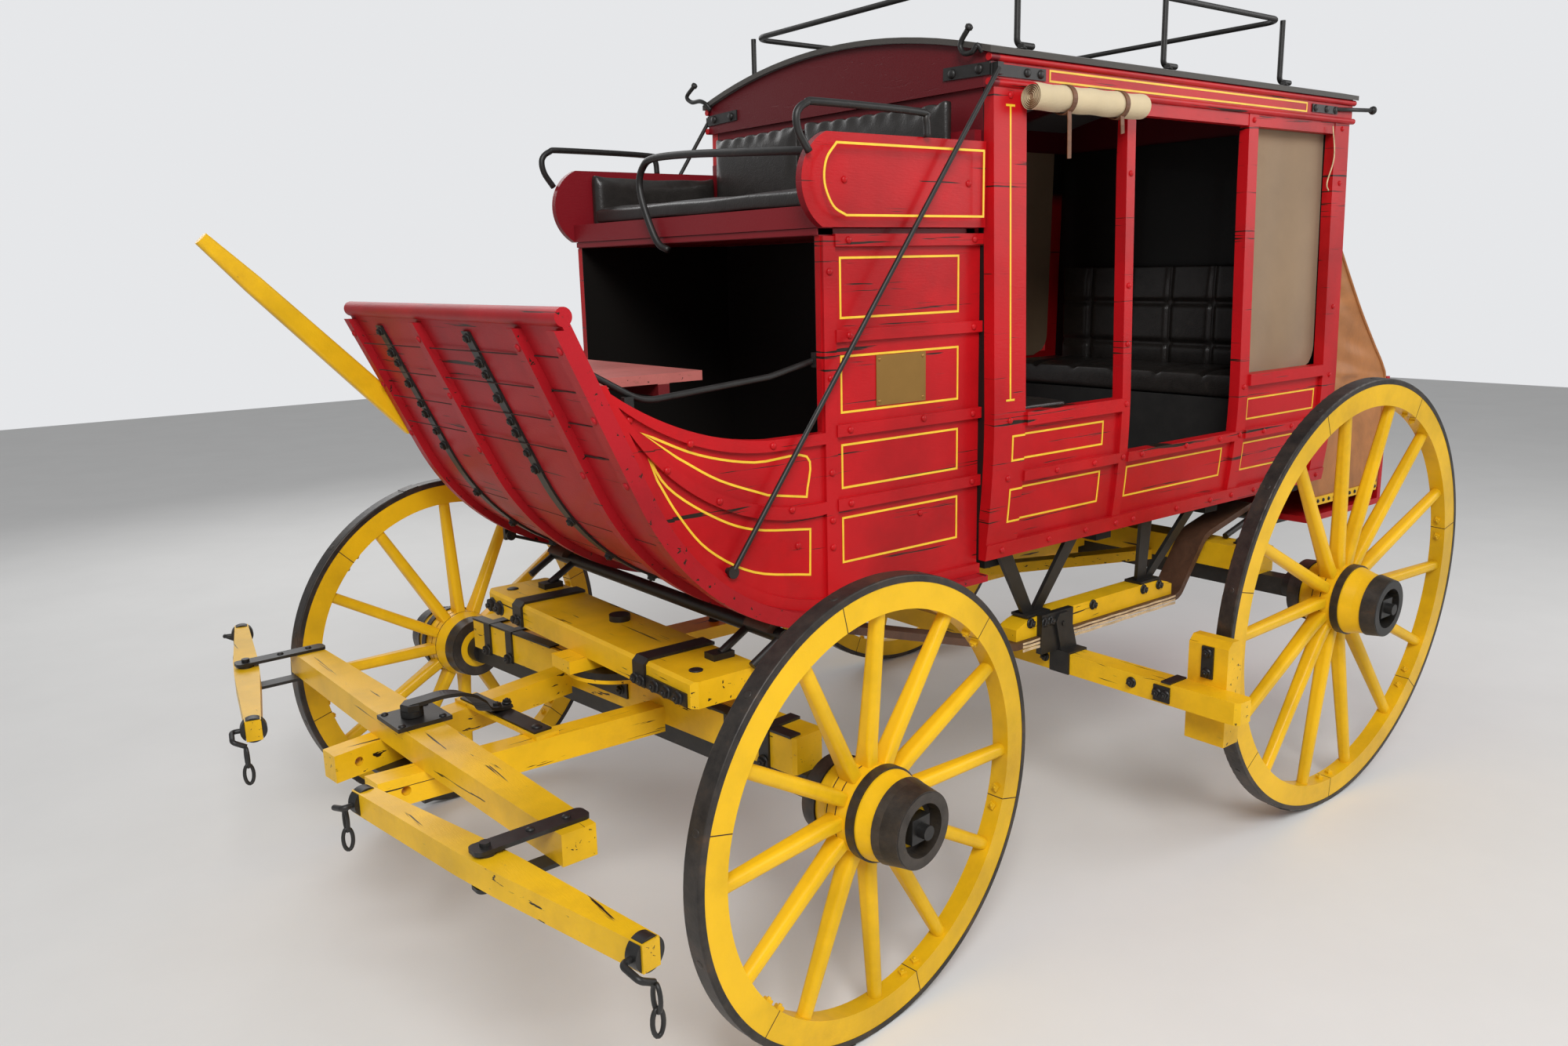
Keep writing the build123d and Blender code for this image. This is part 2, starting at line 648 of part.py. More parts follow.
with BuildPart() as rockers:
    rocker_z = BRACE_LOW_Z + BRACE_THICKNESS + PIECE_GAP
    for side in (1, -1):
        with BuildSketch(Plane.XZ.offset(-side * BRACE_Y)):
            with BuildLine():
                front = Line((station(ROCKER_FRONT), rocker_z), (station(ROCKER_FRONT), rocker_z + 34))
                rise = ThreePointArc(front @ 1, (station(ROCKER_FRONT) - 50, rocker_z + ROCKER_HEIGHT - 5.75),
                                     (station(ROCKER_FRONT) - 100, rocker_z + ROCKER_HEIGHT))
                top = Line(rise @ 1, (station(ROCKER_REAR) + 100, rocker_z + ROCKER_HEIGHT))
                fall = ThreePointArc(top @ 1, (station(ROCKER_REAR) + 50, rocker_z + ROCKER_HEIGHT - 5.75),
                                     (station(ROCKER_REAR), rocker_z + 34))
                back = Line(fall @ 1, (station(ROCKER_REAR), rocker_z))
                Line(back @ 1, front @ 0)
            make_face()
        extrude(amount=ROCKER_WIDTH / 2, both=True)
finish(rockers.part, "rockers")

# V-shaped irons stand on the rockers and carry the body's sills
# station of the foot, then of the two heads
V_IRONS = [(-1060, -866, -1150), (-1590, -1500, -1730)]
with BuildPart() as body_irons:
    rocker_top = rocker_z + ROCKER_HEIGHT
    for side in (1, -1):
        for foot_at, *heads in V_IRONS:
            for head_at in heads:
                lean = 14 if head_at > foot_at else -14
                foot = Plane(origin=(station(foot_at + lean), side * BRACE_Y, rocker_top), z_dir=(0, 0, 1))
                head = Plane(origin=(station(head_at), side * (SIDE_SILL_Y - 8), SILL_BOTTOM), z_dir=(0, 0, 1))
                with BuildSketch(foot):
                    Rectangle(44, 12)
                with BuildSketch(head):
                    Rectangle(52, 12)
                loft()
            block(station(foot_at) - 50, station(foot_at) + 50, side * (BRACE_Y - 30),
                  side * (BRACE_Y + 30), rocker_top, rocker_top + 8)
        with Locations((station(BRAKE_PIVOT_X), side * (BRACE_Y + ROCKER_WIDTH / 2 + 15), BRAKE_PIVOT_Z)):
            Cylinder(BRAKE_PIN_RADIUS, 30, rotation=(90, 0, 0))
        y = side * 400
        block(station(REAR_BOOT_REAR) + 30, station(BODY_REAR) + 40, y - 22, y + 22,
              REAR_BOOT_FLOOR_Z - 42, REAR_BOOT_FLOOR_Z - 22)
        block(station(BODY_REAR) + 20, station(BODY_REAR) + 40, y - 22, y + 22,
              REAR_BOOT_FLOOR_Z - 42, SILL_BOTTOM)
finish(body_irons.part, "body_irons")


# COACH BODY


def side_strip(x0, x1, z0, z1, proud, side):
    """Length of side wall: straight above the belt, curved in below it."""
    plane = Plane(origin=(station(x0), 0, 0), x_dir=(0, -1, 0), z_dir=(-1, 0, 0))
    mid_z = (BELT_Z + SILL_BOTTOM) / 2
    mid_y = (SIDE_BELT_Y + SIDE_SILL_Y) / 2 + 8
    outer = [-side * (y + proud) for y in (SIDE_TOP_Y, SIDE_BELT_Y, mid_y, SIDE_SILL_Y)]
    inner = [-side * (y - WALL) for y in (SIDE_TOP_Y, SIDE_BELT_Y, mid_y, SIDE_SILL_Y)]
    with BuildPart() as strip:
        with BuildSketch(plane):
            with BuildLine():
                Line((inner[0], HEADER_BOTTOM), (outer[0], HEADER_BOTTOM))
                Line((outer[0], HEADER_BOTTOM), (outer[1], BELT_Z))
                ThreePointArc((outer[1], BELT_Z), (outer[2], mid_z), (outer[3], SILL_BOTTOM))
                Line((outer[3], SILL_BOTTOM), (inner[3], SILL_BOTTOM))
                ThreePointArc((inner[3], SILL_BOTTOM), (inner[2], mid_z), (inner[1], BELT_Z))
                Line((inner[1], BELT_Z), (inner[0], HEADER_BOTTOM))
            make_face()
            with Locations((0, (z0 + z1) / 2)):
                Rectangle(2000, z1 - z0, mode=Mode.INTERSECT)
        extrude(amount=x0 - x1)
    return strip.part


# x front, x rear, z low, z high, how far proud of the panels
SIDE_MEMBERS = [
    (BODY_FRONT, PILLAR_REAR, SILL_BOTTOM, HEADER_BOTTOM, POST_PROUD),
    (DOOR_POST_FRONT, DOOR_POST_REAR, SILL_BOTTOM, HEADER_BOTTOM, POST_PROUD),
    (REAR_DOOR_POST_FRONT, REAR_DOOR_POST_REAR, SILL_BOTTOM, HEADER_BOTTOM, POST_PROUD),
    (CORNER_POST_FRONT, BODY_REAR, SILL_BOTTOM, HEADER_BOTTOM, POST_PROUD),
    (BODY_FRONT, BODY_REAR, SILL_BOTTOM, SILL_TOP, POST_PROUD + 4),
    (PILLAR_REAR, DOOR_POST_FRONT, SILL_TOP, BELT_Z, 0),
    (DOOR_POST_REAR, REAR_DOOR_POST_FRONT, SILL_TOP, DOOR_SILL_Z, 0),
    (REAR_DOOR_POST_REAR, CORNER_POST_FRONT, SILL_TOP, BELT_Z + 20, 0),
    (PILLAR_REAR, DOOR_POST_FRONT, BELT_Z - RAIL_HEIGHT, BELT_Z, POST_PROUD + 8),
    (REAR_DOOR_POST_REAR, CORNER_POST_FRONT, BELT_Z + 20 - RAIL_HEIGHT, BELT_Z + 20, POST_PROUD + 8),
    (PILLAR_REAR, DOOR_POST_FRONT, LOWER_BATTEN_Z - BATTEN_HEIGHT / 2, LOWER_BATTEN_Z + BATTEN_HEIGHT / 2,
     POST_PROUD + 6),
    (DOOR_POST_REAR, REAR_DOOR_POST_FRONT, DOOR_SILL_Z - BATTEN_HEIGHT, DOOR_SILL_Z, POST_PROUD + 6),
    (REAR_DOOR_POST_REAR, CORNER_POST_FRONT, LOWER_BATTEN_Z - BATTEN_HEIGHT / 2,
     LOWER_BATTEN_Z + BATTEN_HEIGHT / 2, POST_PROUD + 6),
    (BODY_FRONT, BODY_REAR, HEADER_BOTTOM - 34, HEADER_BOTTOM, POST_PROUD - 2),
]
for name, side in (("side_wall_left", 1), ("side_wall_right", -1)):
    strips = [side_strip(*member, side) for member in SIDE_MEMBERS]
    with BuildPart() as side_wall:
        for strip in strips:
            add(strip)
    finish(side_wall.part, name)

INNER_Y = SIDE_SILL_Y - WALL - PIECE_GAP
with BuildPart() as floor:
    block(station(BODY_REAR) + 26, station(BODY_FRONT) - 26, -INNER_Y, INNER_Y, SILL_BOTTOM, SILL_BOTTOM + FLOOR_THICKNESS)
    for x in (-860, -1340, -1900, -2400):
        block(station(x) - 35, station(x) + 35, -INNER_Y + 16, INNER_Y - 16, SILL_BOTTOM - 40, SILL_BOTTOM)
finish(floor.part, "floor")


def end_wall(x0, x1, z0, z1):
    """Cross wall that follows the inside of both side walls."""
    with BuildSketch(Plane(origin=(station(x1), 0, 0), x_dir=(0, 1, 0), z_dir=(1, 0, 0))) as section:
        with BuildLine():
            lean = SIDE_TOP_Y - WALL - PIECE_GAP
            belt = SIDE_BELT_Y - WALL - PIECE_GAP
            low = SIDE_SILL_Y - WALL - PIECE_GAP
            mid = (SIDE_BELT_Y + SIDE_SILL_Y) / 2 + 8 - WALL - PIECE_GAP
            mid_z = (BELT_Z + SILL_BOTTOM) / 2
            Line((-lean, HEADER_BOTTOM), (lean, HEADER_BOTTOM))
            Line((lean, HEADER_BOTTOM), (belt, BELT_Z))
            ThreePointArc((belt, BELT_Z), (mid, mid_z), (low, SILL_BOTTOM))
            Line((low, SILL_BOTTOM), (-low, SILL_BOTTOM))
            ThreePointArc((-low, SILL_BOTTOM), (-mid, mid_z), (-belt, BELT_Z))
            Line((-belt, BELT_Z), (-lean, HEADER_BOTTOM))
        make_face()
        with Locations((0, (z0 + z1) / 2)):
            Rectangle(2000, z1 - z0, mode=Mode.INTERSECT)
    extrude(section.sketch, amount=x0 - x1)


with BuildPart() as front_wall:
    end_wall(BODY_FRONT, BODY_FRONT - 24, SILL_BOTTOM, HEADER_BOTTOM)
    block(station(BODY_FRONT) - 40, station(BODY_FRONT) + 10, -430, 430, 2000, 2060, mode=Mode.SUBTRACT)
finish(front_wall.part, "front_wall")

with BuildPart() as rear_wall:
    end_wall(BODY_REAR + 24, BODY_REAR, SILL_BOTTOM, HEADER_BOTTOM)
    for z in (LOWER_BATTEN_Z, BELT_Z):
        block(station(BODY_REAR) - 12, station(BODY_REAR), -480, 480, z - 14, z + 14)
finish(rear_wall.part, "rear_wall")

# ROOF
ROOF_HALF = HEADER_Y + 12
ROOF_RADIUS = (HEADER_Y ** 2 + ROOF_RISE ** 2) / (2 * ROOF_RISE)
ROOF_CENTRE_Z = HEADER_TOP + ROOF_RISE - ROOF_RADIUS


def arch_z(y, grow=0):
    """Height of the roof's arch, or of an arch that lies a distance above it."""
    return ROOF_CENTRE_Z + sqrt((ROOF_RADIUS + grow) ** 2 - y ** 2)


def arch_section(low, high, half):
    """Section under the roof's arch: from a flat bottom, or between two arches if low is an offset."""
    with BuildLine() as outline:
        ThreePointArc((half, arch_z(half, high)), (0, arch_z(0, high)), (-half, arch_z(half, high)))
        if low > 0:
            Line((-half, arch_z(half, high)), (-half, low))
            Line((-half, low), (half, low))
            Line((half, low), (half, arch_z(half, high)))
        else:
            Line((-half, arch_z(half, high)), (-half, arch_z(half, low)))
            ThreePointArc((-half, arch_z(half, low)), (0, arch_z(0, low)), (half, arch_z(half, low)))
            Line((half, arch_z(half, low)), (half, arch_z(half, high)))
    make_face(outline.edges())


with BuildPart() as header:
    section = Plane(origin=(station(HEADER_FRONT), 0, 0), x_dir=(0, -1, 0), z_dir=(-1, 0, 0))
    with BuildSketch(section):
        arch_section(HEADER_BOTTOM, 0, HEADER_Y)
    extrude(amount=HEADER_FRONT - HEADER_REAR)
    block(station(HEADER_REAR) + HEADER_WALL, station(HEADER_FRONT) - HEADER_WALL,
          -HEADER_Y + HEADER_WALL, HEADER_Y - HEADER_WALL, HEADER_BOTTOM - 50, HEADER_TOP + 200, mode=Mode.SUBTRACT)
    for side in (1, -1):
        for z in (HEADER_BOTTOM + 9, HEADER_TOP - 11):
            with Locations((station((HEADER_FRONT + HEADER_REAR) / 2), side * HEADER_Y, z)):
                Cylinder(9, HEADER_FRONT - HEADER_REAR + 16, rotation=(0, 90, 0))
    for x in (-1190, -1620, -2060):
        with BuildSketch(Plane(origin=(station(x), 0, 0), x_dir=(0, -1, 0), z_dir=(-1, 0, 0))):
            arch_section(-26, 0, HEADER_Y - HEADER_WALL + 2)
        extrude(amount=30)
finish(header.part, "roof_frame")

with BuildPart() as roof:
    deck_top = PIECE_GAP + ROOF_THICKNESS
    with BuildSketch(Plane(origin=(station(HEADER_FRONT) + 14, 0, 0), x_dir=(0, -1, 0), z_dir=(-1, 0, 0))):
        with BuildLine():
            low, crown = arch_z(ROOF_HALF, PIECE_GAP), arch_z(0, PIECE_GAP)
            high, top = arch_z(ROOF_HALF, deck_top), arch_z(0, deck_top)
            ThreePointArc((-ROOF_HALF, low), (0, crown), (ROOF_HALF, low))
            Line((ROOF_HALF, low), (ROOF_HALF, high))
            ThreePointArc((ROOF_HALF, high), (0, top), (-ROOF_HALF, high))
            Line((-ROOF_HALF, high), (-ROOF_HALF, low))
        make_face()
    extrude(amount=HEADER_FRONT - HEADER_REAR + 28)
finish(roof.part, "roof_deck")

RACK_Y = 545
RACK_RAIL_Z = HEADER_TOP + 215
RACK_STATIONS = [-905, -1520, -2130]
with BuildPart() as rack:
    for x in RACK_STATIONS:
        for side in (1, -1):
            foot = arch_z(RACK_Y, deck_top + ROD_RADIUS + 0.05)
            rod([(station(x) - 60, side * RACK_Y, foot), (station(x), side * RACK_Y, foot),
                 (station(x), side * RACK_Y, RACK_RAIL_Z)], ROD_RADIUS, 14)
    front, rear = station(RACK_STATIONS[0]), station(RACK_STATIONS[-1])
    rod([((front + rear) / 2, RACK_Y, RACK_RAIL_Z), (front, RACK_Y, RACK_RAIL_Z),
         (front, -RACK_Y, RACK_RAIL_Z), ((front + rear) / 2, -RACK_Y, RACK_RAIL_Z)], ROD_RADIUS, 60)
    rod([((front + rear) / 2, RACK_Y, RACK_RAIL_Z), (rear, RACK_Y, RACK_RAIL_Z),
         (rear, -RACK_Y, RACK_RAIL_Z), ((front + rear) / 2, -RACK_Y, RACK_RAIL_Z)], ROD_RADIUS, 60)
finish(rack.part, "roof_rack")

# FRONT BOOT
arc_end = (BOOT_ARC_X + BOOT_ARC_RADIUS * sin(radians(BOOT_SWEEP)),
           BOOT_ARC_Z - BOOT_ARC_RADIUS * cos(radians(BOOT_SWEEP)))


def boot_line(z):
    """Station of the boot's straight front at a height."""
    return arc_end[0] + (z - arc_end[1]) / sin(radians(BOOT_SWEEP)) * cos(radians(BOOT_SWEEP))


def boot_edge(grow):
    """Boot's lower edge, moved out by a distance: start, arc middle, arc end and unit run."""
    radius = BOOT_ARC_RADIUS + grow
    start = (BOOT_ARC_X, BOOT_ARC_Z - radius)
    half = radians(BOOT_SWEEP / 2)
    middle = (BOOT_ARC_X + radius * sin(half), BOOT_ARC_Z - radius * cos(half))
    end = (BOOT_ARC_X + radius * sin(radians(BOOT_SWEEP)), BOOT_ARC_Z - radius * cos(radians(BOOT_SWEEP)))
    return start, middle, end


def edge_band(inner, outer, z_end, x_start):
    """Face between two offsets of the boot's edge, in a plane of stations against heights."""
    run = (cos(radians(BOOT_SWEEP)), sin(radians(BOOT_SWEEP)))
    with BuildLine() as outline:
        a0, a1, a2 = boot_edge(inner)
        b0, b1, b2 = boot_edge(outer)
        length_a = (z_end - a2[1]) / run[1]
        length_b = (z_end - b2[1]) / run[1]
        a3 = (a2[0] + run[0] * length_a, z_end)
        b3 = (b2[0] + run[0] * length_b, z_end)
        Line((x_start, a0[1]), a0)
        ThreePointArc(a0, a1, a2)
        Line(a2, a3)
        Line(a3, b3)
        Line(b3, b2)
        ThreePointArc(b2, b1, b0)
        Line(b0, (x_start, b0[1]))
        Line((x_start, b0[1]), (x_start, a0[1]))
    make_face(outline.edges())


def elevation(y):
    """Plane of stations against heights at a distance from the middle, with Z towards -Y."""
    return Plane(origin=(FRONT_AXLE_X, y, 0), x_dir=(1, 0, 0), z_dir=(0, -1, 0))


BOOT_BATTENS = [1729, 1515]
for name, side in (("boot_side_left", 1), ("boot_side_right", -1)):
    face = elevation(side * BOOT_Y)
    inward = side * BOOT_WALL
    with BuildPart() as boot_side:
        with BuildSketch(face):
            with BuildLine():
                s0, s1, s2 = boot_edge(0)
                nose = (boot_line(BOOT_NOSE_Z), BOOT_NOSE_Z)
                Line((BOOT_REAR, s0[1]), s0)
                ThreePointArc(s0, s1, s2)
                Line(s2, nose)
                ThreePointArc(nose, (90, BOOT_RAIL_Z + 30), (-90, BOOT_RAIL_Z))
                Line((-90, BOOT_RAIL_Z), (BOOT_POST_X, BOOT_RAIL_Z))
                Line((BOOT_POST_X, BOOT_RAIL_Z), (BOOT_POST_X, BOOT_TOP_Z))
                Line((BOOT_POST_X, BOOT_TOP_Z), (BOOT_REAR, BOOT_TOP_Z))
                Line((BOOT_REAR, BOOT_TOP_Z), (BOOT_REAR, s0[1]))
            make_face()
        extrude(amount=inward)
        proud = -side * BATTEN_PROUD
        with BuildSketch(face):
            edge_band(-26, 0, BOOT_NOSE_Z - 10, BOOT_REAR)
        extrude(amount=proud)
        with BuildSketch(face):
            with Locations(((BOOT_REAR + BOOT_POST_X - 36) / 2, 0)):
                for z in BOOT_BATTENS + [BELT_Z + 6, LOWER_BATTEN_Z]:
                    with Locations((0, z)):
                        Rectangle(BOOT_POST_X - 36 - BOOT_REAR, BATTEN_HEIGHT)
        extrude(amount=proud)
        with BuildSketch(face):
            with Locations((BOOT_POST_X - 20, (BOOT_TOP_Z + BOOT_FLOOR) / 2)):
                Rectangle(36, BOOT_TOP_Z - BOOT_FLOOR - 4)
        extrude(amount=proud * 0.7)
        with BuildSketch(face):
            with BuildLine():
                ThreePointArc((boot_line(1440) - 26, 1440), (50, 1190), (BOOT_POST_X, LOWER_BATTEN_Z + 14))
                Line((BOOT_POST_X, LOWER_BATTEN_Z + 14), (BOOT_POST_X, LOWER_BATTEN_Z - 14))
                ThreePointArc((BOOT_POST_X, LOWER_BATTEN_Z - 14), (62, 1165), (boot_line(1414) - 20, 1414))
                Line((boot_line(1414) - 20, 1414), (boot_line(1440) - 26, 1440))
            make_face()
        extrude(amount=proud)
        with BuildSketch(face):
            with BuildLine():
                ThreePointArc((boot_line(BOOT_NOSE_Z) - 4, BOOT_NOSE_Z), (90, BOOT_RAIL_Z + 30), (-90, BOOT_RAIL_Z))
                Line((-90, BOOT_RAIL_Z), (BOOT_POST_X, BOOT_RAIL_Z))
                Line((BOOT_POST_X, BOOT_RAIL_Z), (BOOT_POST_X, BOOT_RAIL_Z - 26))
                Line((BOOT_POST_X, BOOT_RAIL_Z - 26), (-90, BOOT_RAIL_Z - 26))
                ThreePointArc((-90, BOOT_RAIL_Z - 26), (98, BOOT_RAIL_Z + 4), (boot_line(1436) - 8, 1436))
                Line((boot_line(1436) - 8, 1436), (boot_line(BOOT_NOSE_Z) - 4, BOOT_NOSE_Z))
            make_face()
        extrude(amount=proud)
    finish(boot_side.part, name)

FOOT_START = BOOT_REAR
with BuildPart() as footboard:
    with BuildSketch(elevation(0)):
        edge_band(PIECE_GAP, FOOT_THICKNESS, FOOT_TOP_Z, FOOT_START)
    extrude(amount=FOOT_HALF, both=True)
    # rib middle from the coach's middle
    for y in (FOOT_HALF - RIB_WIDTH / 2, 400, -130, -FOOT_HALF + RIB_WIDTH / 2):
        with BuildSketch(elevation(y)):
            edge_band(FOOT_THICKNESS - 1, FOOT_THICKNESS + RIB_DEPTH, FOOT_TOP_Z - 26, -330)
        extrude(amount=RIB_WIDTH / 2, both=True)
    with Locations((station(boot_line(FOOT_TOP_Z)) + 8, 0, FOOT_TOP_Z)):
        Cylinder(19, 2 * FOOT_HALF, rotation=(90, 0, 0))
finish(footboard.part, "footboard")

with BuildPart() as shelf:
    shelf_front = boot_line(1420) - 40
    block(station(-30), station(shelf_front), -BOOT_Y + BOOT_WALL, BOOT_Y - BOOT_WALL - 150, 1424, 1446)
    block(station(60), station(90), -BOOT_Y + BOOT_WALL, BOOT_Y - BOOT_WALL - 150, 1396, 1424)
    block(station(60), station(90), -BOOT_Y + BOOT_WALL, -BOOT_Y + BOOT_WALL + 26, 1260, 1396)
finish(shelf.part, "boot_shelf")

# DRIVER'S SEAT
with BuildPart() as driver_seat:
    for side in (1, -1):
        with BuildSketch(elevation(side * SEAT_Y)):
            with BuildLine():
                Line((SEAT_SIDE_REAR, SEAT_SIDE_BOTTOM), (-236, SEAT_SIDE_BOTTOM))
                ThreePointArc((-236, SEAT_SIDE_BOTTOM), (SEAT_SIDE_NOSE, 1848), (-250, SEAT_SIDE_TOP))
                Line((-250, SEAT_SIDE_TOP), (SEAT_SIDE_REAR, SEAT_SIDE_TOP))
                Line((SEAT_SIDE_REAR, SEAT_SIDE_TOP), (SEAT_SIDE_REAR, SEAT_SIDE_BOTTOM))
            make_face()
        extrude(amount=side * SEAT_SIDE_WALL)
    SEAT_INNER = SEAT_Y - SEAT_SIDE_WALL
    block(station(-285), station(-242), -BOOT_Y + 2, BOOT_Y - 2, BOOT_TOP_Z, SEAT_SIDE_BOTTOM)
    block(station(-764), station(-720), -BOOT_Y + 2, BOOT_Y - 2, BOOT_TOP_Z, SEAT_SIDE_BOTTOM)
    block(station(-275), station(-234), -SEAT_INNER - 1, SEAT_INNER + 1, SEAT_SIDE_BOTTOM, 1806)
    block(station(-740), station(-275), -SEAT_INNER - 1, SEAT_INNER + 1, SEAT_SIDE_BOTTOM, 1776)
    block(station(-764), station(-740), -SEAT_INNER - 1, SEAT_INNER + 1, SEAT_SIDE_BOTTOM, 1990)
finish(driver_seat.part, "driver_seat")

with BuildPart() as seat_cushion:
    block(station(-700), station(-262), -SEAT_INNER + 43, SEAT_INNER - 43, 1806, 1852)
    fillet(seat_cushion.edges().group_by(Axis.Z)[-1], 14)
    block(station(-740), station(-701), -SEAT_INNER + 43, SEAT_INNER - 43, 1776, 2036)
    for side in (1, -1):
        block(station(-740), station(-276), side * (SEAT_INNER - 42), side * SEAT_INNER, 1776, 1958)
finish(seat_cushion.part, "seat_cushions")

with BuildPart() as seat_rails:
    for side in (1, -1):
        y = side * (SEAT_Y - 10)
        rod([(station(-262), y, SEAT_SIDE_TOP + 6.2), (station(-202), y, 2030), (station(-640), y, 2022),
             (station(-640), y, SEAT_SIDE_TOP)], ROD_RADIUS, 34)
    rod([(station(-268), SEAT_INNER, 1944), (station(-268), SEAT_INNER - 30, 1944),
         (station(-214), SEAT_INNER - 90, 1946), (station(-210), -350, 1948), (station(-250), -352, 1808)],
        ROD_RADIUS, 26)
finish(seat_rails.part, "seat_rails")

with BuildPart() as boot_irons:
    for y in (130, -410):
        with BuildSketch(elevation(y)):
            edge_band(FOOT_THICKNESS, FOOT_THICKNESS + 6, FOOT_TOP_Z - 40, -330)
        extrude(amount=18, both=True)
    y = BOOT_Y - BOOT_WALL - 14
    rod([(station(340), y, 1474), (station(215), y, 1405), (station(-120), y, 1432),
         (station(BOOT_POST_X - 12), y, 1462)], THIN_ROD_RADIUS + 1, 120)
    for x, z in ((255, 1402), (BOOT_POST_X - 8, 1462)):
        with Locations((station(x), y + 7, z)):
            Box(22, 14, 34)
    for side in (1, -1):
        rod([(station(-766), side * (HEADER_Y + 18), HEADER_TOP - 38), (station(32), side * (BOOT_Y + 20), 1022)],
            THIN_ROD_RADIUS, 0)
        block(station(-780), station(-760), side * HEADER_Y, side * (HEADER_Y + 20), HEADER_TOP - 52, HEADER_TOP - 24)
        eye((station(36), side * (BOOT_Y + 20), 1016), (0, 1, 0), 14, 6, 8)
        with Locations((station(36), side * (BOOT_Y + 12), 1016)):
            Cylinder(8, 24, rotation=(90, 0, 0))
finish(boot_irons.part, "boot_irons")

# INSIDE
BENCH_TOP = 1210
with BuildPart() as benches:
    for x0, x1 in ((-1180, -800), (-2458, -2060)):
        block(station(x0), station(x1), -INNER_Y + 4, INNER_Y - 4, BENCH_TOP - 22, BENCH_TOP)
        front = x0 if x0 == -1180 else x1 - 20
        block(station(front), station(front + 20), -INNER_Y + 4, INNER_Y - 4,
              SILL_BOTTOM + FLOOR_THICKNESS, BENCH_TOP - 22)
finish(benches.part, "benches")
with BuildPart() as cushions:
    for x0, x1, back in ((-1176, -850, -848), (-2400, -2064, -2404)):
        block(station(x0), station(x1), -INNER_Y + 12, INNER_Y - 12, BENCH_TOP, BENCH_TOP + 84)
        back_to = back + 50 if back > -1200 else back - 50
        block(station(back), station(back_to), -INNER_Y + 30, INNER_Y - 30, BENCH_TOP, 1660)
finish(cushions.part, "bench_cushions")

with BuildPart() as rolled:
    for side in (1, -1):
        with Locations((station(-1085), side * (SIDE_TOP_Y + POST_PROUD + 0.8 + ROLL_RADIUS), 2066)):
            Cylinder(ROLL_RADIUS, 470, rotation=(0, 90, 0))
        with BuildSketch(Plane(origin=(station(CORNER_POST_FRONT) - 4, 0, 0), x_dir=(0, 1, 0), z_dir=(1, 0, 0))):
            with BuildLine():
                Polyline(
                    (side * (SIDE_TOP_Y - WALL), HEADER_BOTTOM), (side * (SIDE_BELT_Y - WALL), BELT_Z),
                    (side * (SIDE_BELT_Y - WALL - SHEET), BELT_Z), (side * (SIDE_TOP_Y - WALL - SHEET), HEADER_BOTTOM),
                    close=True,
                )
            make_face()
        extrude(amount=REAR_DOOR_POST_REAR - CORNER_POST_FRONT + 8)
finish(rolled.part, "curtains")

# REAR BOOT
with BuildPart() as rear_boot:
    block(station(REAR_BOOT_REAR), station(BODY_REAR) - 12, -REAR_BOOT_HALF, REAR_BOOT_HALF,
          REAR_BOOT_FLOOR_Z - 22, REAR_BOOT_FLOOR_Z)
    block(station(REAR_BOOT_REAR), station(REAR_BOOT_REAR) + 24, -REAR_BOOT_HALF, REAR_BOOT_HALF,
          REAR_BOOT_FLOOR_Z, REAR_BOOT_LIP_Z)
finish(rear_boot.part, "rear_boot_platform")

with BuildPart() as boot_cover:
    with BuildSketch(elevation(0)):
        with BuildLine():
            Polyline(
                (BODY_REAR - 12, REAR_BOOT_FLOOR_Z), (REAR_BOOT_REAR + 24, REAR_BOOT_FLOOR_Z),
                (REAR_BOOT_REAR + 24, REAR_BOOT_LIP_Z), (BODY_REAR - 60, REAR_BOOT_TOP_Z - 30),
                (BODY_REAR - 12, REAR_BOOT_TOP_Z), close=True,
            )
        make_face()
    extrude(amount=REAR_BOOT_HALF - 4, both=True)
    offset(amount=-10, openings=boot_cover.faces().sort_by(Axis.X)[-1])
finish(boot_cover.part, "rear_boot_cover")

# BRAKE
beam_x = station(BRAKE_BEAM_FRONT)
shoe_rear = station(-WHEELBASE) + REAR_TYRE_RADIUS + TYRE_TO_SHOE
with BuildPart() as brake_beam:
    block(beam_x - BRAKE_BEAM_DEPTH, beam_x, -BRAKE_BEAM_HALF, BRAKE_BEAM_HALF,
          BRAKE_BEAM_TOP - BRAKE_BEAM_HEIGHT, BRAKE_BEAM_TOP)
    chamfer(brake_beam.edges().filter_by(Axis.Z), 12)
    for side in (1, -1):
        y0 = side * (SHOE_Y - SHOE_WIDTH / 2)
        y1 = side * (SHOE_Y + SHOE_WIDTH / 2)
        block(shoe_rear, beam_x - BRAKE_BEAM_DEPTH, y0, y1, SHOE_BOTTOM, SHOE_TOP)
    chamfer(brake_beam.edges().filter_by(Axis.Y).group_by(Axis.Z)[-1], 18)
finish(brake_beam.part, "brake_beam")

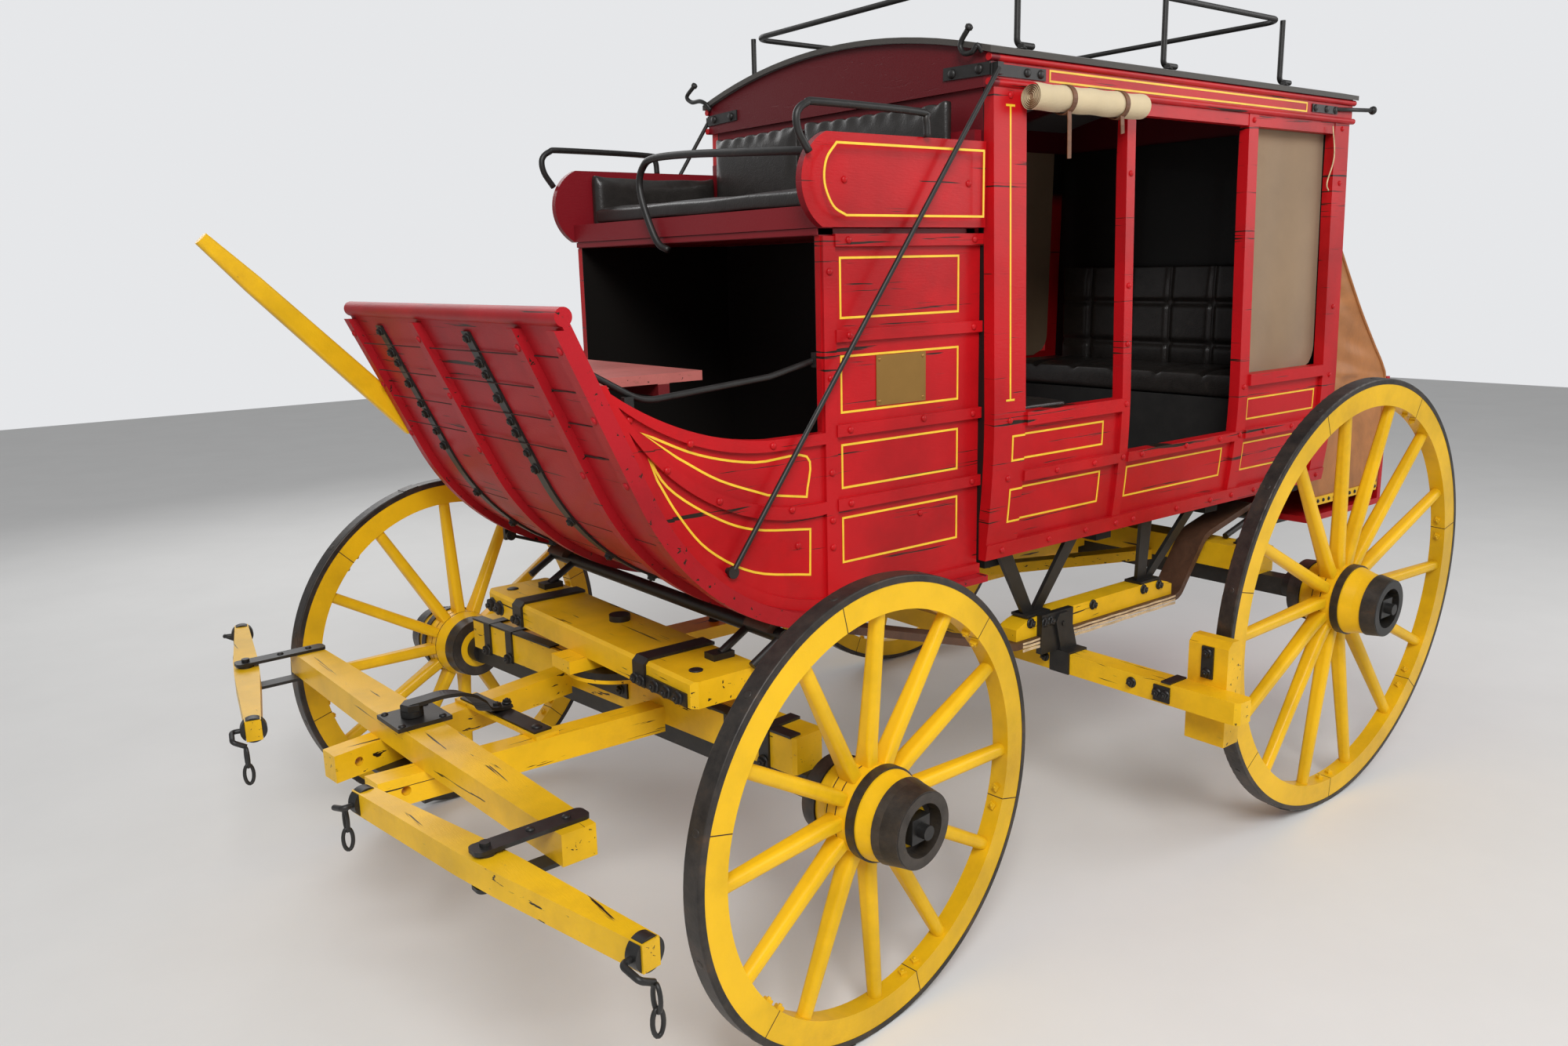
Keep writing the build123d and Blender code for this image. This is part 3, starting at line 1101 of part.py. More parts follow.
BRAKE_BEAM_BOTTOM = BRAKE_BEAM_TOP - BRAKE_BEAM_HEIGHT
ROD_Y = LEVER_Y + LEVER_IRON / 2 + ROD_EYE
HANGER_Y = BRACE_Y + BRACE_WIDTH / 2 + 6
with BuildPart() as hangers:
    for side in (1, -1):
        y0 = side * HANGER_Y
        with BuildSketch(elevation(side * (HANGER_Y + 8))):
            with BuildLine():
                Polyline(
                    (BRAKE_BEAM_FRONT - BRAKE_BEAM_DEPTH, BRAKE_BEAM_TOP), (BRAKE_BEAM_FRONT, BRAKE_BEAM_TOP),
                    (BRAKE_PIVOT_X + 34, BRAKE_PIVOT_Z + 10), (BRAKE_PIVOT_X + 20, BRAKE_PIVOT_Z + 32),
                    (BRAKE_PIVOT_X - 20, BRAKE_PIVOT_Z + 32), (BRAKE_PIVOT_X - 34, BRAKE_PIVOT_Z + 10),
                    close=True,
                )
            make_face()
            with Locations((BRAKE_PIVOT_X, BRAKE_PIVOT_Z)):
                Circle(BRAKE_PIN_RADIUS + PIN_CLEARANCE, mode=Mode.SUBTRACT)
        extrude(amount=side * 8)
        block(beam_x - BRAKE_BEAM_DEPTH - 6, beam_x + 6, y0 - side * 30, y0 + side * 38,
              BRAKE_BEAM_TOP, BRAKE_BEAM_TOP + 6)
        for x in (beam_x, beam_x - BRAKE_BEAM_DEPTH - 6):
            block(x, x + 6, y0 - side * 30, y0 + side * 38, BRAKE_BEAM_BOTTOM, BRAKE_BEAM_TOP)
    block(beam_x - 56, beam_x - 14, LEVER_Y - 1, LEVER_Y + 7, BRAKE_BEAM_BOTTOM - ROD_DROP - 14, BRAKE_BEAM_BOTTOM)
    with Locations((beam_x - 35, ROD_Y + 4, BRAKE_BEAM_BOTTOM - ROD_DROP)):
        Cylinder(ROD_PIN_RADIUS, 20, rotation=(90, 0, 0))
finish(hangers.part, "brake_hangers")

lever_run = Vector(LEVER_TIP_X - LEVER_PIVOT_X, 0, LEVER_TIP_Z - LEVER_PIVOT_Z)
with BuildPart() as lever:
    base = Vector(station(LEVER_PIVOT_X), LEVER_Y, LEVER_PIVOT_Z)
    grain = Plane(origin=base + lever_run.normalized() * 380, x_dir=(0, 1, 0), z_dir=lever_run)
    with BuildSketch(grain):
        RectangleRounded(36, 62, 8)
    with BuildSketch(grain.offset(lever_run.length - 380 - 160)):
        RectangleRounded(34, 50, 10)
    with BuildSketch(grain.offset(lever_run.length - 380)):
        RectangleRounded(32, 36, 12)
    loft(ruled=True)
finish(lever.part, "brake_lever")

with BuildPart() as lever_iron:
    run = Plane(origin=base + lever_run.normalized() * 60, x_dir=(0, 1, 0), z_dir=lever_run)
    with BuildSketch(run):
        Rectangle(14, 46)
    extrude(amount=319.5)
    with Locations((base.X, base.Y, LEVER_PIVOT_Z)):
        Cylinder(34, 14, rotation=(90, 0, 0))
    with BuildSketch(Plane(origin=base, x_dir=(0, 1, 0), z_dir=lever_run)):
        Rectangle(14, 46)
    extrude(amount=80)
    block(base.X - 15, base.X + 15, LEVER_Y - 7, LEVER_Y + 7, LEVER_PIVOT_Z - LEVER_ARM - 14, LEVER_PIVOT_Z)
    with Locations((base.X, ROD_Y + 1, LEVER_PIVOT_Z - LEVER_ARM)):
        Cylinder(ROD_PIN_RADIUS, 16, rotation=(90, 0, 0))
    with Locations((base.X, base.Y, LEVER_PIVOT_Z)):
        Cylinder(LEVER_PIN_RADIUS + PIN_CLEARANCE, 60, rotation=(90, 0, 0), mode=Mode.SUBTRACT)
finish(lever_iron.part, "brake_lever_iron")

with BuildPart() as lever_pin:
    pin_from = -(BOOT_Y + BATTEN_PROUD)
    with Locations((base.X, (pin_from + LEVER_Y - 16) / 2, LEVER_PIVOT_Z)):
        Cylinder(LEVER_PIN_RADIUS, pin_from - LEVER_Y + 16, rotation=(90, 0, 0))
finish(lever_pin.part, "brake_lever_pin")

with BuildPart() as brake_rod:
    front_eye = Vector(station(LEVER_PIVOT_X), ROD_Y, LEVER_PIVOT_Z - LEVER_ARM)
    rear_eye = Vector(beam_x - 35, ROD_Y, BRAKE_BEAM_BOTTOM - ROD_DROP)
    along = (rear_eye - front_eye).normalized()
    eye(front_eye, (0, 1, 0), 15, ROD_PIN_RADIUS + PIN_CLEARANCE, 2 * ROD_EYE)
    eye(rear_eye, (0, 1, 0), 19, ROD_PIN_RADIUS + ROD_SLACK, 2 * ROD_EYE)
    rod([front_eye + along * 12, rear_eye - along * 15], ROD_EYE - 1, 0)
finish(brake_rod.part, "brake_rod")
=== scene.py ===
import json
from math import cos, exp, pi, radians, sin, sqrt, tan

import bmesh
import bpy
from mathutils import Matrix, Vector

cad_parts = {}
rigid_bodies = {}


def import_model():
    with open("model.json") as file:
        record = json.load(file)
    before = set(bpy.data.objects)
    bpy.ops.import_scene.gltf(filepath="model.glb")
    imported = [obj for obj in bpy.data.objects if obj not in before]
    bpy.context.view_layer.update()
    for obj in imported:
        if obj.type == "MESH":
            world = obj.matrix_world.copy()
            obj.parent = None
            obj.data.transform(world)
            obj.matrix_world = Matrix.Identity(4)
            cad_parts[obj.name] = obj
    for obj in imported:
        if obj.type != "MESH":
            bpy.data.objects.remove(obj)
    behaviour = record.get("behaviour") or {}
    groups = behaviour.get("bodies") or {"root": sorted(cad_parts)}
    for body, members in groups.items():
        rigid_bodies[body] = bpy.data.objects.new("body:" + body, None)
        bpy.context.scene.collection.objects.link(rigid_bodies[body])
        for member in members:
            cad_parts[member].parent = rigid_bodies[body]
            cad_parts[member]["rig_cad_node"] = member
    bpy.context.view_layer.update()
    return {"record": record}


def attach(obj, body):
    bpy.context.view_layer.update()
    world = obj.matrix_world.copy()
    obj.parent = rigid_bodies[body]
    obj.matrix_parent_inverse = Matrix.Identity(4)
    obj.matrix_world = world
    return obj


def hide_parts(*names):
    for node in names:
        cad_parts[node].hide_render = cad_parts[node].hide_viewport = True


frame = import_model()

# PLACES
# Stations along the coach are metres from the front axle, and Y is from the coach's own middle.
JOINTS = {joint["name"]: joint for joint in frame["record"]["behaviour"]["joints"]}
FRONT_AXLE_X, MIDDLE_Y = JOINTS["front_gear_steer"]["pos_m"][:2]
# At rest the front gear is steered by this much, and the evener lies turned by that much
STEER_DEGREES = 6.1
EVENER_DEGREES = STEER_DEGREES - 4.0
STEER = radians(STEER_DEGREES)
COACH = Matrix.Translation((FRONT_AXLE_X, MIDDLE_Y, 0))
GEAR = COACH @ Matrix.Rotation(STEER, 4, "Z")
CAD = {obj["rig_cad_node"]: obj for obj in bpy.data.objects if obj.type == "MESH" and "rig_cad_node" in obj}
SIDES = (1, -1)
FACES = ((1, "left"), (-1, "right"))
X_AXIS, Y_AXIS, Z_AXIS = 0, 1, 2
UP, AHEAD, BACK = (0, 0, 1), (1, 0, 0), (-1, 0, 0)


def at(x, y, z):
    return Vector((FRONT_AXLE_X + x, MIDDLE_Y + y, z))


def joint_frame(joint, degrees):
    """Frame at a joint's pin, turned as its bar lies at rest, at the ground's height."""
    x, y = JOINTS[joint]["pos_m"][:2]
    return Matrix.Translation((x, y, 0)) @ Matrix.Rotation(radians(degrees), 4, "Z")


def wheel_frame(joint, side, turn):
    """Frame of a wheel: X along the coach, Z out along its arm, and the rim's middle at Z = 0."""
    spin = JOINTS[joint]
    out = Vector(spin["axis"]) * side
    along = Vector(polar(1, turn))
    return Matrix.Translation(spin["pos_m"]) @ Matrix((along, out.cross(along), out)).transposed().to_4x4()


def land(node, spot, normal, basis=COACH, reach=0.08):
    """Where a line that comes in against the normal meets a CAD node, in the same frame as the spot."""
    out = Vector(normal).normalized()
    start = basis @ (Vector(spot) + out * reach)
    hit, where, _, _ = CAD[node].ray_cast(start, basis.to_3x3() @ -out)
    return basis.inverted() @ where if hit else None


# MATERIALS
# Every pattern uses object coordinates in metres, so it moves with its piece.


class Nodes:
    """Adds shader nodes, and gives their inputs a value or a link."""

    def __init__(self, name):
        self.material = bpy.data.materials.new(name)
        self.material.use_nodes = True
        self.tree = self.material.node_tree
        self.shader = self.tree.nodes["Principled BSDF"]

    def feed(self, socket, value):
        if isinstance(value, bpy.types.NodeSocket):
            self.tree.links.new(value, socket)
        else:
            socket.default_value = (*value, 1) if socket.type == "RGBA" else value

    def set(self, node, **values):
        """Feeds inputs, where an underscore stands for a space, and sets a node's other options."""
        for key, value in values.items():
            socket = node.inputs.get(key.replace("_", " "))
            if socket is None:
                setattr(node, key, value)
            else:
                self.feed(socket, value)
        return node

    def add(self, kind, **values):
        return self.set(self.tree.nodes.new("ShaderNode" + kind), **values)


def coordinates(n, scale=(1, 1, 1)):
    return n.add("Mapping", Vector=n.add("TexCoord").outputs["Object"], Scale=scale).outputs["Vector"]


def noise(n, vector, scale, detail=4.0, roughness=0.55, distortion=0.0):
    node = n.add("TexNoise", Vector=vector, Scale=scale, Detail=detail, Roughness=roughness, Distortion=distortion)
    return node.outputs["Fac"]


def ramp(n, fac, stops):
    """Colours at rising values: (value, colour)."""
    node = n.add("ValToRGB", Fac=fac)
    elements = node.color_ramp.elements
    elements[0].position, elements[1].position = stops[0][0], stops[-1][0]
    for position, _ in stops[1:-1]:
        elements.new(position)
    for element, (_, colour) in zip(elements, stops):
        element.color = (*colour, 1)
    return node.outputs["Color"]


def step(n, fac, low, high, top=1.0):
    """Mask that rises from 0 at low to top at high."""
    return ramp(n, fac, [(low, (0, 0, 0)), (high, (top, top, top))])


def mix(n, fac, a, b):
    node = n.add("Mix", data_type="RGBA", Factor=fac)
    n.feed(node.inputs[6], a)
    n.feed(node.inputs[7], b)
    return node.outputs[2]


def bump(n, height, strength, distance):
    node = n.add("Bump", Strength=strength, Distance=distance, Height=height)
    n.set(n.shader, Normal=node.outputs["Normal"])


def calc(n, operation, a, b):
    node = n.add("Math", operation=operation)
    n.feed(node.inputs[0], a)
    n.feed(node.inputs[1], b)
    return node.outputs[0]


def within(n, axis, low, high):
    """Mask that is 1 between two places along an axis of the object, in metres."""
    soft = 0.0006
    parts = n.add("SeparateXYZ", Vector=n.add("TexCoord").outputs["Object"])
    middle, half = (low + high) / 2, (high - low) / 2
    away = calc(n, "ABSOLUTE", calc(n, "SUBTRACT", parts.outputs[axis], middle), 0.0)
    return n.add("MapRange", Value=away, From_Min=half + soft, From_Max=half - soft).outputs[0]


def shade(colour, factor):
    return tuple(min(1, c * factor) for c in colour)


def painted(name, colour, worn, grain=(1, 6, 6), wear=(0.68, 0.76), rough=0.4, dirt=None, crack=None, zones=()):
    """Paint on wood: mottling, rubbed places, cracks along the grain and smut; zones mix flat colours over parts of
    it, most of them painted shade.
    """
    n = Nodes(name)
    along = coordinates(n, grain)
    even = coordinates(n)
    base = ramp(n, noise(n, even, 2.6, 6.0, 0.6), [(0.32, shade(colour, 0.70)), (0.55, colour),
                                                   (0.75, shade(colour, 1.10))])
    rubbed = step(n, noise(n, along, 8.0, 9.0, 0.7), *wear, 0.85)
    base = mix(n, rubbed, base, worn)
    if dirt:
        base = mix(n, step(n, noise(n, even, 1.9, 8.0, 0.72), 0.52, 0.80, 0.6), base, dirt)
    fine = noise(n, along, 46.0, 6.0, 0.62)
    height = fine
    if crack:
        split = step(n, noise(n, coordinates(n, crack), 3.0, 3.0, 0.6, 0.4), 0.655, 0.675)
        base = mix(n, split, base, CRACK_COLOUR)
        height = calc(n, "SUBTRACT", fine, split)
    # Zones: flat colours over parts of the piece, most of them painted shade on inner faces.
    for axis, low, high, tint in zones:
        base = mix(n, within(n, axis, low, high), base, tint)
    n.set(n.shader, Base_Color=base, Roughness=rough, Specular_IOR_Level=0.22, Coat_Weight=0.03)
    bump(n, height, 0.35, 0.0012)
    return n.material


def plain(name, colour, rough, metallic=0.0, grain=18.0, strength=0.2, variation=0.35, worn=None):
    """One colour with fine spots, for iron, brass and small things; worn shows in rubbed places."""
    n = Nodes(name)
    vector = coordinates(n)
    spots = noise(n, vector, grain, 6.0, 0.6)
    base = ramp(n, spots, [(0.3, shade(colour, 1 - variation)), (0.7, shade(colour, 1 + variation))])
    if worn:
        base = mix(n, step(n, noise(n, vector, grain * 0.6, 9.0, 0.75), 0.60, 0.70, 0.8), base, worn)
    n.set(n.shader, Base_Color=base, Roughness=rough, Metallic=metallic)
    bump(n, spots, strength, 0.001)
    return n.material


def woven(name, colour, rough, stain):
    """Canvas: crossed threads, creases and faint stains."""
    n = Nodes(name)
    vector = coordinates(n)
    threads = calc(n, "MULTIPLY", *[n.add("TexWave", Vector=vector, Scale=150.0, Distortion=0.6, bands_direction=way)
                                    .outputs["Fac"] for way in "XZ"])
    broad = noise(n, vector, 3.5, 5.0, 0.6)
    base = ramp(n, broad, [(0.3, shade(colour, 0.80)), (0.65, colour)])
    base = mix(n, step(n, noise(n, vector, 5.0, 7.0, 0.7), 0.60, 0.78, 0.5), base, stain)
    n.set(n.shader, Base_Color=base, Roughness=rough, Sheen_Weight=0.2)
    bump(n, calc(n, "ADD", calc(n, "MULTIPLY", threads, 0.25), broad), 0.5, 0.003)
    return n.material


def leather(name, colour, rough, crease=26.0, worn=None):
    """Leather: pebbled grain, creases, and scuffs that show the lighter hide."""
    n = Nodes(name)
    vector = coordinates(n)
    cells = n.add("TexVoronoi", Vector=vector, Scale=260.0)
    folds = noise(n, vector, crease, 6.0, 0.62, 0.8)
    base = ramp(n, folds, [(0.3, shade(colour, 0.7)), (0.5, colour), (0.75, shade(colour, 1.3))])
    if worn:
        base = mix(n, step(n, noise(n, vector, 11.0, 9.0, 0.75), 0.62, 0.74, 0.7), base, worn)
    n.set(n.shader, Base_Color=base, Roughness=rough)
    height = calc(n, "ADD", calc(n, "MULTIPLY", cells.outputs["Distance"], 0.35), folds)
    bump(n, height, 0.4, 0.002)
    return n.material


def rusted(name):
    """Bare iron of the tyres, with patches of rust."""
    n = Nodes(name)
    vector = coordinates(n)
    stops = [(0.35, (0.022, 0.020, 0.019)), (0.55, (0.050, 0.042, 0.036)), (0.72, (0.10, 0.062, 0.040))]
    base = ramp(n, noise(n, vector, 14.0, 9.0, 0.7), stops)
    n.set(n.shader, Base_Color=base, Roughness=0.44, Metallic=0.5)
    bump(n, noise(n, vector, 34.0, 7.0, 0.7), 0.55, 0.002)
    return n.material


def red(name, crack=None, zones=(), wear=(0.70, 0.80), rough=0.38):
    """The body's paint, whose grain runs along the coach."""
    return painted(name, (0.50, 0.006, 0.010), (0.26, 0.02, 0.018), (1, 6, 6), wear, rough,
                   (0.20, 0.012, 0.014), crack, zones)


def yellow(name, grain, wear=(0.66, 0.72), rough=0.36, crack=None):
    """The gear's paint."""
    return painted(name, (0.86, 0.50, 0.010), (0.34, 0.17, 0.04), grain, wear, rough, (0.42, 0.21, 0.02), crack)


def shade_between_sides(half, tint):
    """Zone of painted shade across the coach: it takes in what lies between the outer faces of its sides, so inner
    faces come out dark.
    """
    return Y_AXIS, MIDDLE_Y - half, MIDDLE_Y + half, tint


def stretch(rear, front, tint):
    """Zone along the coach, between two stations."""
    return X_AXIS, FRONT_AXLE_X + rear, FRONT_AXLE_X + front, tint


CRACK_COLOUR = (0.02, 0.012, 0.008)
# Near black, painted in as shade on inner faces and hidden parts of the coach.
PAINTED_SHADE = (0.010, 0.009, 0.008)
RED = red("red_paint")
# Cabin sides: faces inside the outer face get painted shade, near black.
RED_SIDE = red("red_side_paint", (0.7, 1, 30), [shade_between_sides(0.564, PAINTED_SHADE)])
# Boot sides: faces inside the outer face get painted shade, near black.
RED_BOOT = red("red_boot_paint", (0.7, 1, 26), [shade_between_sides(0.5375, PAINTED_SHADE)])
# Header: the front face is deep red, partly its own paint and partly painted shade; parts inside its outer faces get
# darker painted shade.
RED_ROOF = red("red_header_paint", (0.7, 4, 30), [stretch(-0.780, -0.750, (0.17, 0.008, 0.014)),
                                                  shade_between_sides(0.571, (0.12, 0.006, 0.010))])
# Driver's seat: faces inside its outer sides get painted shade, a darker red.
RED_SEAT = red("red_seat_paint", (0.7, 1, 26), [shade_between_sides(0.577, (0.22, 0.010, 0.016))], (0.66, 0.76), 0.36)
# Rear wall: its inner face, towards the cabin, gets painted shade, near black.
RED_REAR = red("red_rear_paint", zones=[stretch(-2.4895, -2.30, PAINTED_SHADE)])
RED_FOOT = painted("red_foot_paint", (0.40, 0.008, 0.015), (0.20, 0.035, 0.025), (5, 1, 5), (0.66, 0.78), 0.46,
                   (0.16, 0.008, 0.012), (24, 0.8, 24))
# Front wall: deep red, partly its own paint and partly painted shade; inside the front boot, from 0.85 m to 1.76 m,
# painted shade near black.
FRONT_WALL = painted("front_wall_paint", (0.15, 0.007, 0.012), (0.07, 0.012, 0.01), (1, 5, 5), (0.68, 0.8), 0.5,
                     zones=[(Z_AXIS, 0.85, 1.76, PAINTED_SHADE)])
YELLOW = yellow("yellow_paint", (4, 4, 4), (0.70, 0.76), 0.34)
YELLOW_BAR = yellow("yellow_bar_paint", (8, 1.2, 8), crack=(26, 1.1, 26))
YELLOW_LONG = yellow("yellow_long_paint", (1.2, 8, 8), crack=(1.1, 26, 26))
PINK = painted("worn_pink", (0.52, 0.15, 0.13), (0.26, 0.10, 0.07), (6, 2, 8), (0.56, 0.72), 0.45, (0.30, 0.06, 0.05),
               (22, 1.0, 22), [(Z_AXIS, 1.20, 1.4225, (0.14, 0.010, 0.012))])
STRIPE = plain("stripe_yellow", (0.88, 0.56, 0.03), 0.45, strength=0.05, variation=0.12)
BLACK_IRON = plain("black_iron", (0.014, 0.013, 0.012), 0.46, 0.1, 30.0, 0.4, worn=(0.040, 0.030, 0.024))
BAND_IRON = plain("band_iron", (0.060, 0.050, 0.042), 0.42, 0.55, 26.0, 0.4, worn=(0.11, 0.085, 0.06))
BRASS = plain("brass", (0.36, 0.20, 0.055), 0.36, 0.85, 6.0, 0.05, variation=0.12)
TYRE = rusted("tyre_steel")
# Floor and benches inside the cabin: near black, painted shade.
INSIDE_SHADE = plain("inside_dark", PAINTED_SHADE, 0.8, strength=0.3)
GROOVE = plain("groove_dark", (0.030, 0.010, 0.008), 0.9, strength=0.0)
CANVAS = woven("dark_canvas", (0.055, 0.048, 0.040), 0.75, (0.09, 0.075, 0.055))
CREAM = woven("cream_canvas", (0.70, 0.56, 0.34), 0.85, (0.45, 0.28, 0.12))
TAN = woven("tan_canvas", (0.30, 0.195, 0.105), 0.88, (0.20, 0.12, 0.06))
BLACK_LEATHER = leather("black_leather", (0.020, 0.017, 0.015), 0.34, 22.0, (0.060, 0.048, 0.038))
BROWN_LEATHER = leather("brown_leather", (0.38, 0.145, 0.038), 0.5, 5.0)
STRAP_LEATHER = leather("strap_leather", (0.085, 0.038, 0.020), 0.5, 24.0, (0.20, 0.10, 0.05))
STRAP_EDGE = plain("strap_edge", (0.62, 0.46, 0.27), 0.8, grain=40.0, strength=0.3, variation=0.3)
TIE_LEATHER = leather("tie_leather", (0.16, 0.065, 0.028), 0.55)
FLOOR = plain("studio_floor", (0.78, 0.775, 0.76), 0.75, grain=2.0, strength=0.0, variation=0.02)

# Every CAD node that isn't listed is black iron
NODE_MATERIAL = {
    "front_wall": FRONT_WALL, "rear_wall": RED_REAR, "roof_frame": RED_ROOF, "roof_deck": CANVAS,
    "footboard": RED_FOOT, "driver_seat": RED_SEAT, "boot_shelf": PINK, "rear_boot_platform": RED,
    "floor": INSIDE_SHADE, "benches": INSIDE_SHADE, "thoroughbraces": STRAP_LEATHER, "brake_lever": YELLOW,
    "rockers": YELLOW_LONG, "reach": YELLOW_LONG, "hounds": YELLOW_LONG,
    "front_bolster": YELLOW_BAR, "front_axle_bed": YELLOW_BAR, "rear_axle_bed": YELLOW_BAR,
    "evener": YELLOW_BAR, "brake_beam": YELLOW_BAR,
}
for _, word in FACES:
    NODE_MATERIAL |= {f"side_wall_{word}": RED_SIDE, f"boot_side_{word}": RED_BOOT, f"singletree_{word}": YELLOW_BAR}
    for end in ("front", "rear"):
        NODE_MATERIAL |= {f"wheel_{end}_{word}": YELLOW, f"tyre_{end}_{word}": TYRE}
for node, obj in CAD.items():
    obj.data.materials.clear()
    obj.data.materials.append(NODE_MATERIAL.get(node, BLACK_IRON))

# MESH HELPERS


def polar(radius, angle, z=0.0):
    """Point at a radius and an angle round Z."""
    return radius * cos(angle), radius * sin(angle), z


def circle(radius, count, turn=0.0):
    """Points (u, v) round a circle, in order."""
    return [polar(radius, turn + 2 * pi * i / count)[:2] for i in range(count)]


def grid_faces(rows, columns):
    """Faces of a sheet of points that has so many cells each way."""
    wide = columns + 1
    return [(r * wide + c, r * wide + c + 1, (r + 1) * wide + c + 1, (r + 1) * wide + c)
            for r in range(rows) for c in range(columns)]


def ring_faces(rings, sides, closed=False):
    """Faces between neighbouring rings of points; closed joins the last ring to the first."""
    faces = []
    for r in range(rings if closed else rings - 1):
        here, there = r * sides, (r + 1) % rings * sides
        for i in range(sides):
            j = (i + 1) % sides
            faces.append((here + i, here + j, there + j, there + i))
    return faces


def end_faces(rings, sides):
    """Caps on the first and the last ring."""
    last = (rings - 1) * sides
    return [tuple(range(sides - 1, -1, -1)), tuple(range(last, last + sides))]


def runs_at(points, i, closed=False):
    """Directions in which a run of points comes to its point i and goes on from it."""
    after = (i + 1) % len(points)
    runs = [(points[i] - points[i - 1]).normalized()] if i or closed else []
    return runs + ([(points[after] - points[i]).normalized()] if after or closed else [])


def new_object(name, data):
    obj = bpy.data.objects.new(name, data)
    bpy.context.collection.objects.link(obj)
    return obj


def add_piece(name, mesh, body):
    obj = new_object(name, mesh)
    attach(obj, body)
    return obj


class Pile:
    """Collects the faces of many small things that make one piece."""

    def __init__(self, basis=COACH):
        self.verts = []
        self.faces = []
        self.smooth = []
        self.frame = basis

    def add(self, verts, faces, smooth=False):
        base = len(self.verts)
        self.verts += [self.frame @ Vector(v) for v in verts]
        self.faces += [tuple(i + base for i in face) for face in faces]
        self.smooth += [smooth] * len(faces)

    def block(self, low, high):
        """Box between two corners."""
        (x0, y0, z0), (x1, y1, z1) = low, high
        verts = [(x, y, z) for x in (x0, x1) for y in (y0, y1) for z in (z0, z1)]
        self.add(verts, [(0, 1, 3, 2), (4, 6, 7, 5), (0, 4, 5, 1), (2, 3, 7, 6), (0, 2, 6, 4), (1, 5, 7, 3)])

    def side_block(self, side, low, high):
        """Box on one side of the coach, between corners that are given for the left side."""
        near, far = sorted((side * low[1], side * high[1]))
        self.block((low[0], near, low[2]), (high[0], far, high[2]))

    def turned(self, spot, normal, rings, sides=12, smooth=True, spin=0.0):
        """Closed turned shape on a surface: rings of (radius, height) out along the normal."""
        normal = Vector(normal).normalized()
        aside = normal.orthogonal().normalized() if abs(normal.z) > 0.9 else normal.cross(UP).normalized()
        other = normal.cross(aside)
        verts = [Vector(spot) + aside * u + other * v + normal * height
                 for radius, height in rings for u, v in circle(radius, sides, spin)]
        self.add(verts, ring_faces(len(rings), sides) + end_faces(len(rings), sides), smooth)

    def dome(self, spot, normal, radius, height):
        """Round head, let 1 mm into the surface."""
        self.turned(spot, normal, [(radius, -0.001), (radius, height * 0.25), (radius * 0.82, height * 0.68),
                                   (radius * 0.45, height)])

    def nut(self, spot, normal, size, height):
        """Square nut with its corners eased, turned a little out of line."""
        half = size / 2 / cos(pi / 4)
        self.turned(spot, normal, [(half, -0.001), (half, height * 0.8), (half * 0.85, height)], 4, False, 0.4)

    def bolt(self, spot, normal, size):
        """Square nut on its round washer, with the bolt's end standing out of it."""
        normal = Vector(normal).normalized()
        self.turned(spot, normal, [(size * 0.85, -0.001), (size * 0.85, 0.0025)], 14)
        self.nut(Vector(spot) + normal * 0.002, normal, size, size * 0.55)
        self.turned(Vector(spot) + normal * (size * 0.5), normal, [(size * 0.27, 0), (size * 0.27, size * 0.35)], 10)

    def strip(self, points, normals, width, height, closed=False, sink=0.0006):
        """Flat strip along points, lying on a surface with the given normals."""
        points = [Vector(p) for p in points]
        count = len(points)
        if isinstance(normals, (tuple, Vector)):
            normals = [normals] * count
        verts = []
        for i, point in enumerate(points):
            runs = runs_at(points, i, closed)
            run = sum(runs, Vector()).normalized()
            normal = Vector(normals[i]).normalized()
            aside = normal.cross(run).normalized()
            if len(runs) == 2:
                flat = [r - normal * r.dot(normal) for r in runs]
                if min(f.length for f in flat) > 0.4:
                    aside /= max(0.5, cos(flat[0].angle(flat[1]) / 2))
            half = aside * (width / 2)
            for side, lift in ((-1, -sink), (-1, height), (1, height), (1, -sink)):
                verts.append(point + half * side + normal * lift)
        self.add(verts, ring_faces(count, 4, closed) + ([] if closed else end_faces(count, 4)))

    def tube(self, points, radius, sides=8):
        """Round bar along points."""
        points = [Vector(p) for p in points]
        verts = []
        aside = None
        for i, point in enumerate(points):
            run = sum(runs_at(points, i), Vector()).normalized()
            aside = run.orthogonal().normalized() if aside is None else (aside - run * aside.dot(run)).normalized()
            other = run.cross(aside)
            verts += [point + (aside * u + other * v) * radius for u, v in circle(1, sides)]
        self.add(verts, ring_faces(len(points), sides) + end_faces(len(points), sides), True)

    def make(self, name, material, slot_name="black_iron", body="coach"):
        """Piece of the scene, made of everything in the pile; it rides its body."""
        mesh = bpy.data.meshes.new(name)
        mesh.from_pydata([tuple(v) for v in self.verts], [], self.faces)
        mesh.polygons.foreach_set("use_smooth", self.smooth)
        shape = bmesh.new()
        shape.from_mesh(mesh)
        bmesh.ops.recalc_face_normals(shape, faces=shape.faces)
        shape.to_mesh(mesh)
        shape.free()
        mesh.materials.append(material)
        return add_piece(name, mesh, body)


def curve(points, steps):
    """Points of a smooth run through the given ones."""
    points = [Vector(p) for p in points]
    ends = [points[0] * 2 - points[1]] + points + [points[-1] * 2 - points[-2]]
    out = []
    for i in range(1, len(ends) - 2):
        a, b, c, d = ends[i - 1:i + 3]
        for k in range(steps):
            t = k / steps
            out.append((b * 2 + (c - a) * t + (a * 2 - b * 5 + c * 4 - d) * t * t
                        + (b * 3 - a - c * 3 + d) * t ** 3) / 2)
    return out + [points[-1]]


def curve_xz(points, steps):
    """The same for points (x, z) on a side of the coach."""
    return [(p.x, p.z) for p in curve([(x, 0, z) for x, z in points], steps)]


